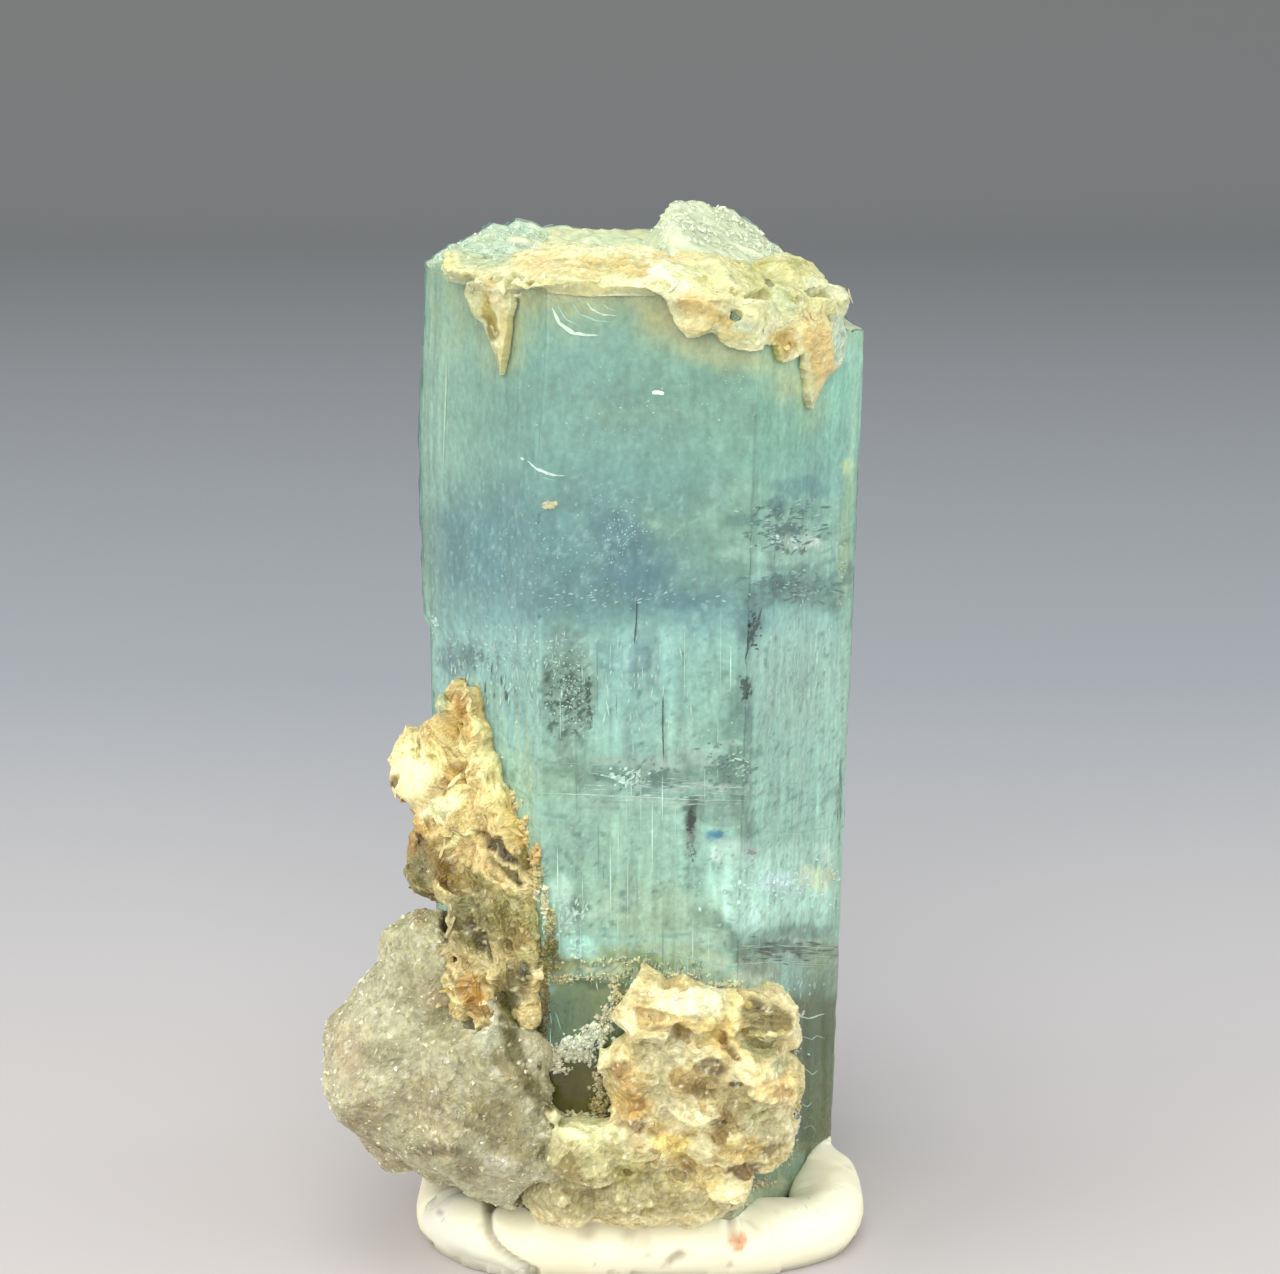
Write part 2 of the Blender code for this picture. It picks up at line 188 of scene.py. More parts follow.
def finish_piece(obj, material, slot, *nodes):
    """Dress a piece and say what it rides on and stands for."""
    obj.data.materials.clear()
    obj.data.materials.append(material)
    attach(obj, "root")
    if nodes:
        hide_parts(*nodes)
    return obj


# ------------------------------------------------------------------ the crystal's form


def face_reaches(z, grow=0.0):
    """Distance of each prism face from the axis at height z."""
    right = RIGHT_TAPER * (1.0 - min(z, TOP_Z) / TOP_Z)
    left = LEFT_TOP_TAPER * smooth(z, 32.0, TOP_Z)
    ledge = STEP_DEPTH * (1.0 - smooth(z, STEP_HEIGHT - 0.2, STEP_HEIGHT + 0.2))
    front = FRONT_UNDERCUT * (1.0 - smooth(z, BASE_Z, BASE_Z + UNDERCUT_HEIGHT))
    back_off = (front, right, right, 0.0, left + ledge, left)
    return [reach - back_off[i] + grow for i, reach in enumerate(FACE_REACH)]


def face_normal(face):
    """Outward direction of one prism face."""
    angle = math.radians(FACE_NORMALS[face % 6])
    return Vector((math.cos(angle), math.sin(angle), 0.0))


def corner(reaches, index):
    """Where face index meets the next face round."""
    a, b = face_normal(index), face_normal(index + 1)
    r, s = reaches[index], reaches[(index + 1) % 6]
    span = a.x * b.y - a.y * b.x
    return Vector(((r * b.y - s * a.y) / span, (s * a.x - r * b.x) / span, 0.0))


def surface_relief(face, along, length, z):
    """How far one spot of a prism face lies below the flat face: growth steps, striae and nicks."""
    wave = noise.noise(Vector((face * 5.3, along * 0.62, z * 0.035)))
    depth = 0.35 * GROOVE_DEPTH * round(2.2 * wave)
    depth += 0.014 * noise.noise(Vector((face * 3.1, along * 5.5, z * 0.09)))
    depth += 0.02 * noise.noise(Vector((face * 9.7, along * 0.9, z * 0.5)))
    edge = min(along, length - along)
    nick = max(0.0, noise.noise(Vector((face * 7.7, z * 1.3, 4.0))) - 0.12)
    depth += 0.16 * nick * max(0.0, 1.0 - edge / 0.3)
    return depth


def fine_outline(z):
    """The prism's section at height z with its surface relief."""
    reaches = face_reaches(z)
    points = []
    for face in range(6):
        start, end = corner(reaches, face - 1), corner(reaches, face)
        outward, length = face_normal(face), (end - start).length
        for k in range(FINE_STRIPS):
            point = start.lerp(end, k / FINE_STRIPS)
            along = (point - start).length
            points.append(point - outward * surface_relief(face, along, length, z))
    return points


def top_height(x, y):
    """Height of the broken upper end over (x, y)."""
    rough = 0.25 * noise.noise(Vector((x * 0.45, y * 0.45, 3.0)))
    rough += 0.2 * noise.noise(Vector((x * 1.1, y * 1.1, 9.0)))
    rough += 0.10 * noise.noise(Vector((x * 2.9, y * 2.9, 5.0)))
    rough += 0.05 * noise.noise(Vector((x * 7.0, y * 7.0, 2.0)))
    mound = MOUND_HEIGHT * smooth(x, MOUND_LEFT, MOUND_LEFT + 1.3) * smooth(y, MOUND_FRONT, MOUND_FRONT + 2.4)
    mound *= 1.0 - 0.6 * smooth(y, 4.6, 7.4)
    left_block = 0.2 * smooth(-x, 3.9, 4.9) * smooth(y, -1.0, 1.0)
    left_block -= CORNER_DROP * smooth(-x, 6.4, 8.8)
    shoulder = TOP_Z - SHOULDER_FALL * (x - SHOULDER_START) + SHOULDER_RISE_BACK * (y + FACE_REACH[0])
    return min(TOP_Z + mound + left_block, shoulder) + rough


def build_crystal():
    """One closed prism: fine striated faces and a rough, etched upper end."""
    bm = bmesh.new()
    rings, etch = [], []
    rim = fine_outline(TOP_Z)
    ceiling = [top_height(p.x, p.y) for p in rim]
    for level in range(FINE_LEVELS + 1):
        t = level / FINE_LEVELS
        ring = []
        for k in range(6 * FINE_STRIPS):
            z = BASE_Z + (ceiling[k] - BASE_Z) * t
            ring.append((k, z))
        outlines = {}
        verts = []
        for k, z in ring:
            key = round(z, 1)
            if key not in outlines:
                outlines[key] = fine_outline(key)
            p = outlines[key][k]
            verts.append(bm.verts.new((p.x, p.y, z)))
            etch.append(0.0 if t < 0.985 else 0.6)
        rings.append(verts)
    for j in range(1, FINE_TOP_RINGS):
        scale = 1.0 - j / FINE_TOP_RINGS
        ring = []
        for p in rim:
            x, y = p.x * scale, p.y * scale
            ring.append(bm.verts.new((x, y, top_height(x, y))))
            etch.append(1.0)
        rings.append(ring)
    for lower, upper in zip(rings, rings[1:]):
        for k in range(len(lower)):
            j = (k + 1) % len(lower)
            bm.faces.new((lower[k], lower[j], upper[j], upper[k]))
    bm.faces.new(reversed(rings[0]))
    bm.faces.new(rings[-1])
    obj = to_object("beryl_prism", bm, smooth_angle=24)
    store(obj.data, "etch", etch)
    return obj


# ------------------------------------------------------------------ what shows inside the crystal


class Paint:
    """Colour, cover and lift of a surface's vertices, built up in strokes."""

    def __init__(self, points, colour, cover=1.0, wobble=(0.20, 0.09)):
        self.points = points
        self.x, self.z = seen_square(points)
        self.colour = np.tile(np.array(colour, float), (len(points), 1))
        self.cover = np.full(len(points), float(cover))
        self.lift = np.zeros(len(points))
        self.bent_x, self.bent_z = (
            where + wobble[0] * clouds(points, 1.1, seed, 2) + wobble[1] * clouds(points, 0.32, seed + 5, 2)
            for where, seed in ((self.x, 91), (self.z, 95)))

    def lay(self, mask, colour, cover=None):
        """Blend a colour, and a cover if one is given, in where mask is 1."""
        mask = np.clip(mask, 0.0, 1.0)
        self.colour += mask[:, None] * (np.array(colour) - self.colour)
        if cover is not None:
            self.cover += mask * (cover - self.cover)

    def streaks(self, width, length, seed, low=0.1, high=0.7):
        """Fine upright streaks."""
        return rise(clouds(self.points, (width, width, length), seed, 3), low, high)

    def strokes(self, table):
        """Lay down a table of soft, leaning ovals."""
        for x, z, half_x, half_z, lean, soft, red, green, blue, strength, *lift in table:
            c, s = math.cos(math.radians(lean)), math.sin(math.radians(lean))
            dx, dz = self.bent_x - x, self.bent_z - z
            away = np.hypot((dx * c - dz * s) / half_x, (dx * s + dz * c) / half_z)
            mask = strength * (1.0 - rise(away, 1.0 - soft, 1.0 + soft))
            self.lay(mask, pigment(red, green, blue))
            if lift:
                self.lift += mask * (lift[0] - self.lift)


def front_y(x, z, depth=0.0):
    """How far forward the crystal's three front faces reach at (x, z), less depth."""
    reaches = face_reaches(z, -depth)
    right = 2.0 * (math.cos(math.radians(30)) * x - reaches[1])
    left = -2.0 * (math.cos(math.radians(30)) * x + reaches[5])
    return max(-reaches[0], right, left)


def under_skin(face, point, reaches, z, depth):
    """Move a point of a flat face in under the face's relief, and deeper by depth."""
    start, end = corner(reaches, face - 1), corner(reaches, face)
    relief = surface_relief(face, (point - start).length, (end - start).length, z)
    return point - face_normal(face) * (relief + depth)


def on_front(x, z, depth=0.0):
    """The point of the front faces, less depth, that shows at (x, z) on the front face's plane."""
    y = FRONT_PLANE
    x = max(-7.9, min(7.7, x))
    for _ in range(4):
        t = (y + EYE_DISTANCE) / (FRONT_PLANE + EYE_DISTANCE)
        spot = Vector((x * t, y, EYE_HEIGHT + (z - EYE_HEIGHT) * t))
        y = front_y(spot.x, spot.z)
    reaches = face_reaches(spot.z)
    right, left = corner(reaches, 0), corner(reaches, 5)
    face = 1 if spot.x > right.x else 5 if spot.x < left.x else 0
    level = under_skin(face, Vector((spot.x, y, 0.0)), reaches, spot.z, depth)
    return Vector((level.x, level.y, spot.z))


def veil_grid(name, inset, faces, low, high, spacing):
    """A sheet that follows some of the prism's faces, inset from them."""
    levels = int((high - low) / spacing)
    verts, quads = [], []
    for level in range(levels + 1):
        z = low + (high - low) * level / levels
        flat = face_reaches(z)
        row = []
        for face in faces:
            start, end = corner(flat, face - 1), corner(flat, face)
            strips = int(round((corner(face_reaches(20.0), face - 1)
                                - corner(face_reaches(20.0), face)).length / spacing))
            for k in range(strips + (face == faces[-1] and len(faces) < 6)):
                row.append(start.lerp(end, k / strips) if inset > 1.0
                           else under_skin(face, start.lerp(end, k / strips), flat, z, inset))
        if inset > 1.0:
            row = [p * (1.0 - inset / 7.4) for p in row]
        verts += [(p.x, p.y, low + (min(high, top_height(p.x, p.y) - 0.06) - low) * level / levels) for p in row]
        width = len(row)
    closed = len(faces) == 6
    for level in range(levels):
        for k in range(width if closed else width - 1):
            j = (k + 1) % width
            a, b = level * width, (level + 1) * width
            quads.append((a + k, a + j, b + j, b + k))
    points = np.array(verts)
    return from_lists(name, points, quads), points


VEIL_GAIN = 0.82
MILK = (0.278, 0.462, 0.398)
LOW_MILK = (0.32, 0.54, 0.45)
DEEP_BLUE = (0.185, 0.355, 0.365)
# painted shade: the dark green laid low in the crystal for the shade seen through its foot
DEEP_SHADE_GREEN = (0.062, 0.075, 0.026)
# ---- strokes begin
# seen square from the front; x, z, half width, half height, lean, softness, red, green, blue, strength
INSIDE_STROKES = (
    (0.00, 39.81, 8.37, 1.47, 0, 0.6, 152, 188, 168, 0.8),
    (-2.92, 38.70, 3.29, 1.48, 0, 0.7, 140, 183, 177, 0.7),
    (4.40, 36.84, 4.04, 3.37, 0, 0.6, 143, 184, 163, 0.8),
    (-7.12, 38.70, 0.88, 2.22, 0, 0.5, 160, 190, 171, 0.9),
    (-7.41, 33.06, 0.82, 4.96, 0, 0.5, 158, 186, 169, 0.8),
    (-5.16, 35.34, 1.84, 2.64, 0, 0.7, 148, 184, 169, 0.6),
    (-1.85, 34.58, 4.06, 2.27, 0, 0.7, 140, 180, 171, 0.7),
    (0.37, 35.53, 2.58, 0.34, 4, 0.6, 152, 186, 167, 0.7),
    (-0.74, 32.30, 3.34, 1.53, 0, 0.6, 138, 178, 173, 0.7),
    (0.93, 31.42, 0.97, 0.46, 0, 0.6, 158, 188, 163, 0.85),
    (2.23, 32.30, 2.23, 2.30, 0, 0.7, 139, 181, 169, 0.6),
    (-3.64, 39.95, 2.33, 0.59, 0, 0.8, 208, 206, 159, 0.85),
    (-0.73, 40.10, 2.18, 0.55, 0, 0.8, 204, 206, 165, 0.75),
    (0.91, 39.29, 1.09, 0.66, 20, 0.8, 216, 204, 149, 0.85),
    (2.19, 38.14, 1.61, 0.59, 16, 0.8, 206, 202, 155, 0.7),
    (3.95, 37.81, 1.24, 0.41, 16, 0.8, 200, 202, 157, 0.7),
    (5.58, 36.62, 0.88, 0.60, 30, 0.8, 200, 202, 157, 0.7),
    (-5.04, 38.70, 0.73, 1.41, 0, 0.8, 198, 202, 157, 0.8),
    (-5.90, 39.81, 0.73, 0.59, 0, 0.9, 190, 202, 157, 0.6),
    (6.33, 35.41, 0.59, 0.45, 0, 0.8, 178, 196, 157, 0.5),
    (-4.86, 29.99, 2.32, 2.33, 0, 0.5, 122, 164, 167, 0.85),
    (-6.79, 30.57, 0.34, 2.32, 0, 0.4, 122, 156, 155, 0.8),
    (-6.31, 32.30, 1.11, 0.77, 0, 0.6, 138, 172, 165, 0.6),
    (-1.50, 29.60, 2.24, 1.75, 0, 0.5, 126, 166, 166, 0.8),
    (-0.82, 30.76, 0.97, 1.31, -12, 0.4, 120, 158, 164, 0.75),
    (-1.04, 31.46, 0.52, 0.54, 0, 0.4, 122, 158, 165, 0.6),
    (0.00, 29.60, 0.90, 0.86, 20, 0.5, 116, 155, 161, 0.7),
    (0.75, 28.82, 2.25, 0.86, 8, 0.45, 116, 156, 163, 0.85),
    (-3.00, 28.43, 2.63, 0.55, 0, 0.5, 126, 164, 161, 0.8),
    (2.44, 28.43, 0.90, 0.47, 10, 0.4, 114, 152, 155, 0.8),
    (2.06, 29.13, 0.97, 0.35, 14, 0.5, 146, 184, 169, 0.8),
    (3.01, 27.45, 1.65, 0.79, 0, 0.5, 136, 178, 180, 0.7),
    (-3.74, 29.52, 0.97, 0.93, 0, 0.5, 132, 170, 167, 0.6),
    (-1.87, 29.99, 0.45, 1.01, 24, 0.5, 134, 174, 171, 0.6),
    (-6.38, 28.43, 1.50, 0.55, 0, 0.5, 140, 174, 167, 0.7),
    (5.03, 31.15, 2.98, 2.01, 0, 0.35, 156, 192, 171, 0.8),
    (5.97, 30.38, 1.94, 1.01, 4, 0.4, 172, 200, 180, 0.8),
    (5.82, 32.80, 1.11, 0.42, 2, 0.3, 120, 160, 153, 0.9),
    (5.01, 32.11, 0.52, 0.35, 0, 0.3, 104, 140, 135, 0.8),
    (6.13, 31.92, 0.82, 0.31, 3, 0.3, 128, 166, 151, 0.8),
    (3.79, 31.53, 0.67, 0.23, 10, 0.3, 122, 160, 149, 0.9),
    (5.06, 31.84, 0.26, 0.27, 0, 0.3, 86, 116, 112, 0.8),
    (5.40, 31.15, 0.48, 0.19, 0, 0.3, 92, 124, 118, 0.85),
    (2.86, 32.68, 0.30, 0.61, 0, 0.4, 172, 208, 196, 0.7),
    (2.68, 31.34, 0.26, 0.77, 0, 0.4, 168, 204, 188, 0.6),
    (3.92, 30.10, 1.19, 0.23, 12, 0.35, 182, 214, 196, 0.8),
    (5.96, 30.72, 0.97, 0.23, 4, 0.3, 196, 212, 190, 0.8),
    # painted highlight: a white glint where the fracture catches the light
    (6.41, 30.84, 0.30, 0.23, 0, 0.3, 226, 232, 218, 0.9),
    (5.48, 30.53, 0.19, 0.15, 0, 0.3, 70, 96, 86, 0.9),
    (6.08, 30.41, 0.15, 0.12, 0, 0.3, 90, 90, 71, 0.9),
    (4.64, 29.33, 0.82, 0.19, -8, 0.3, 178, 212, 196, 0.8),
    (5.98, 29.56, 1.27, 0.19, 3, 0.3, 124, 156, 141, 0.85),
    (6.22, 28.74, 1.72, 0.59, 2, 0.35, 110, 142, 129, 0.85),
    (5.06, 28.90, 0.45, 0.47, 20, 0.35, 92, 118, 112, 0.85),
    (6.94, 28.20, 0.75, 0.39, 0, 0.4, 118, 146, 131, 0.8),
    (4.39, 28.35, 0.34, 0.31, 0, 0.4, 120, 146, 137, 0.8),
    (7.75, 31.15, 0.30, 2.85, 1, 0.4, 168, 190, 149, 0.85),
    (7.93, 29.21, 0.15, 0.78, 4, 0.3, 98, 122, 106, 0.7),
    (7.69, 33.67, 0.30, 0.30, 0, 0.4, 206, 214, 167, 0.8),
    (-6.05, 25.28, 2.50, 2.94, 0, 0.5, 150, 192, 185, 0.95),
    (-6.68, 26.27, 0.83, 0.71, 10, 0.35, 116, 150, 151, 0.85),
    (-6.98, 25.88, 0.45, 0.32, 0, 0.4, 106, 136, 141, 0.7),
    (-5.27, 26.86, 1.13, 0.39, 0, 0.5, 150, 190, 182, 0.7),
    (0.19, 24.49, 2.08, 3.19, 0, 0.5, 154, 196, 188, 0.9),
    (3.41, 24.88, 1.89, 2.79, 0, 0.5, 152, 193, 180, 0.9),
    (6.05, 25.28, 1.81, 2.78, 0, 0.4, 164, 197, 184, 0.9),
    (4.14, 27.45, 0.45, 0.71, 18, 0.4, 112, 146, 141, 0.8),
    (3.79, 24.49, 0.34, 1.60, 4, 0.4, 128, 166, 155, 0.7),
    (3.76, 23.69, 0.34, 0.88, 8, 0.3, 104, 138, 131, 0.8),
    (0.08, 26.03, 0.49, 0.63, 0, 0.25, 130, 168, 171, 0.7),
    (-1.06, 26.27, 0.68, 0.87, 0, 0.4, 134, 176, 171, 0.8),
    (-0.57, 26.27, 0.11, 0.71, 0, 0.3, 182, 216, 208, 0.7),
    (0.57, 25.76, 0.11, 0.87, 0, 0.3, 184, 216, 208, 0.6),
    (0.95, 22.56, 0.08, 1.37, 0, 0.4, 130, 158, 149, 0.6),
    (-2.72, 25.08, 0.98, 2.47, 0, 0.12, 138, 168, 153, 0.9),
    (-2.71, 26.86, 0.90, 0.63, 0, 0.4, 130, 160, 153, 0.7),
    (1.90, 22.88, 1.37, 0.72, 0, 0.5, 162, 198, 182, 0.7),
    (3.12, 23.16, 0.99, 0.48, -14, 0.4, 126, 164, 151, 0.8),
    (3.88, 22.56, 0.61, 0.28, -20, 0.35, 112, 148, 135, 0.8),
    (3.35, 22.68, 0.61, 0.12, 0, 0.3, 170, 200, 184, 0.8),
    (-2.75, 21.88, 1.14, 1.05, 0, 0.5, 142, 174, 153, 0.8),
    (-3.06, 21.19, 1.91, 0.65, 0, 0.5, 146, 178, 155, 0.8),
    (1.14, 22.00, 2.67, 0.40, 0, 0.5, 164, 186, 173, 0.8),
    (0.00, 21.27, 1.68, 0.49, 4, 0.35, 126, 162, 153, 0.85),
    (-1.34, 20.94, 0.84, 0.24, -6, 0.3, 172, 206, 190, 0.8),
    (-0.08, 21.15, 0.38, 0.37, 40, 0.3, 196, 224, 212, 0.8),
    (0.46, 21.27, 0.31, 0.32, 50, 0.3, 112, 146, 141, 0.8),
    (2.29, 21.27, 1.30, 0.57, 0, 0.4, 134, 166, 153, 0.85),
    (3.36, 21.84, 0.61, 0.28, -20, 0.35, 104, 138, 126, 0.85),
    (3.63, 20.94, 0.61, 0.65, 0, 0.3, 116, 150, 135, 0.85),
    (2.29, 20.90, 1.91, 0.12, 0, 0.3, 186, 204, 194, 0.8),
    (0.38, 20.37, 3.06, 0.20, 2, 0.3, 172, 198, 182, 0.8),
    (0.00, 20.13, 2.30, 0.12, 1, 0.3, 132, 160, 149, 0.7),
    (6.11, 21.27, 1.91, 2.03, 0, 0.4, 158, 198, 185, 0.85),
    (3.07, 19.97, 1.07, 0.57, 0, 0.2, 122, 152, 141, 0.9),
    (1.92, 19.72, 0.19, 0.82, 2, 0.25, 60, 74, 69, 0.85),
    (1.92, 18.99, 0.35, 0.37, 0, 0.4, 116, 120, 114, 0.5),
    (3.99, 19.64, 0.27, 0.90, 0, 0.3, 120, 150, 133, 0.8),
    (2.92, 18.99, 0.46, 0.21, 4, 0.3, 84, 142, 167, 0.85),
    (3.65, 18.74, 0.54, 0.37, 10, 0.4, 118, 146, 139, 0.8),
    (4.35, 18.29, 0.23, 0.21, 0, 0.4, 166, 150, 153, 0.5),
    (-1.54, 18.41, 3.08, 2.06, 0, 0.5, 152, 186, 167, 0.85),
    (-2.50, 18.62, 0.54, 0.49, 0, 0.5, 132, 164, 153, 0.6),
    (-2.69, 19.48, 0.31, 0.25, 0, 0.4, 128, 158, 145, 0.6),
    (-0.77, 19.23, 0.61, 0.41, 0, 0.5, 160, 192, 173, 0.6),
    (5.02, 16.84, 2.47, 1.41, 6, 0.28, 184, 224, 210, 0.95),
    (3.46, 18.41, 0.77, 0.58, 0, 0.4, 186, 216, 202, 0.8),
    (6.16, 18.00, 1.54, 0.83, 0, 0.4, 176, 212, 196, 0.8),
    (3.68, 16.14, 1.32, 0.75, 38, 0.3, 192, 230, 216, 0.9),
    (4.07, 15.59, 0.70, 0.50, 30, 0.3, 196, 234, 222, 0.9),
    (5.21, 17.17, 0.62, 0.41, 0, 0.4, 206, 238, 235, 0.9),
    (6.64, 17.17, 0.54, 0.50, 0, 0.4, 204, 220, 188, 0.8),
    (2.89, 18.33, 0.23, 0.37, 0, 0.3, 214, 236, 226, 0.8),
    (7.16, 18.08, 0.15, 0.66, 0, 0.4, 206, 226, 210, 0.6),
    (0.19, 16.14, 2.32, 1.00, 0, 0.5, 160, 186, 163, 0.85),
    (-0.97, 16.22, 0.85, 0.29, -30, 0.3, 178, 206, 188, 0.7),
    (0.58, 15.30, 1.71, 0.50, 0, 0.5, 158, 182, 157, 0.8),
    (2.71, 15.51, 0.78, 0.58, 36, 0.4, 128, 156, 135, 0.85),
    (3.30, 14.88, 0.54, 0.42, 20, 0.4, 104, 132, 114, 0.8),
    (-3.28, 16.97, 0.35, 0.58, 20, 0.3, 190, 220, 206, 0.8),
    (-2.82, 16.68, 0.27, 0.66, -14, 0.3, 194, 222, 208, 0.8),
    (-2.98, 15.72, 0.62, 0.58, 0, 0.35, 168, 200, 184, 0.8),
    (-2.44, 16.14, 0.27, 0.42, 0, 0.4, 118, 140, 118, 0.8),
    (-3.41, 15.30, 0.47, 0.42, 0, 0.4, 140, 166, 143, 0.7),
    (-2.45, 14.42, 0.51, 0.50, 10, 0.25, 176, 224, 212, 0.95),
    (-1.94, 15.30, 0.31, 0.50, 0, 0.4, 150, 180, 159, 0.7),
    (6.02, 14.88, 1.40, 0.38, -6, 0.35, 118, 152, 137, 0.9),
    (5.44, 14.42, 1.55, 0.34, 2, 0.35, 104, 136, 122, 0.85),
    (7.01, 13.62, 0.86, 1.10, 0, 0.4, 122, 142, 108, 0.85),
    (6.02, 14.67, 1.17, 0.08, 3, 0.3, 168, 192, 173, 0.7),
    (6.23, 13.96, 1.40, 0.08, 8, 0.3, 172, 190, 161, 0.7),
    (0.78, 14.25, 2.33, 0.42, 2, 0.4, 158, 176, 143, 0.85),
    (0.00, 13.92, 1.71, 0.42, 6, 0.35, 140, 156, 114, 0.85),
    (2.56, 14.76, 0.93, 0.34, 0, 0.4, 176, 202, 184, 0.8),
    (2.92, 13.75, 0.62, 0.34, 10, 0.4, 190, 206, 182, 0.8),
    (3.89, 14.25, 0.39, 0.34, 0, 0.4, 112, 134, 106, 0.8),
    (3.82, 13.75, 0.31, 0.21, 0, 0.3, 92, 98, 73, 0.8),
    (4.56, 13.50, 0.86, 0.42, 16, 0.4, 150, 158, 133, 0.8),
    (4.29, 12.82, 0.86, 0.42, 6, 0.35, 206, 218, 194, 0.85),
    (2.34, 13.20, 1.17, 0.42, 16, 0.35, 160, 180, 159, 0.8),
    (-0.58, 13.50, 1.56, 0.25, 14, 0.35, 196, 204, 163, 0.8),
    (-3.12, 13.50, 1.01, 0.34, -6, 0.4, 138, 140, 86, 0.9),
    (-3.58, 13.92, 0.62, 0.42, 0, 0.4, 132, 136, 86, 0.8),
    (-1.56, 13.33, 0.78, 0.13, 6, 0.3, 214, 216, 173, 0.8),
    (6.84, 12.14, 1.02, 0.93, 0, 0.5, 108, 134, 114, 0.9),
)
# painted shade: the dark olive ovals are the shade seen through the bare crystal; the pale ones at the foot are its
# whitish rim
WINDOW_STROKES = (
    (-1.96, 11.93, 1.88, 1.19, 0, 0.2, 134, 154, 114, 1),
    (-3.13, 11.29, 0.71, 1.11, 0, 0.4, 112, 138, 106, 0.8),
    (-1.17, 12.23, 0.94, 0.85, 0, 0.4, 146, 160, 118, 0.7),
    (-1.56, 12.82, 1.17, 0.17, 4, 0.3, 104, 118, 82, 0.7),
    (-2.43, 11.08, 0.55, 0.43, 0, 0.4, 122, 144, 104, 0.6),
    (-2.57, 8.20, 1.58, 1.30, 0, 0.2, 100, 94, 24, 1),
    (-1.97, 8.72, 0.47, 0.52, 0, 0.4, 124, 118, 53, 0.7),
    (-3.16, 7.64, 0.79, 0.43, 0, 0.4, 92, 88, 35, 0.7),
    (6.91, 8.29, 0.95, 2.60, 0, 0.3, 102, 120, 65, 1),
    (6.52, 10.44, 0.55, 0.86, 0, 0.4, 92, 114, 71, 0.8),
    (7.36, 6.98, 0.32, 1.74, 0, 0.4, 118, 118, 63, 0.7),
    (6.34, 6.98, 0.40, 1.05, 0, 0.4, 86, 110, 73, 0.7),
    (5.97, 5.01, 2.23, 0.70, 0, 0.35, 146, 172, 145, 0.95),
    (4.99, 3.82, 2.39, 0.53, -3, 0.3, 198, 208, 175, 0.95),
    (3.80, 3.34, 1.60, 0.27, -2, 0.3, 212, 216, 180, 0.9),
    (6.85, 4.79, 0.56, 0.88, 0, 0.3, 150, 176, 149, 0.9),
)
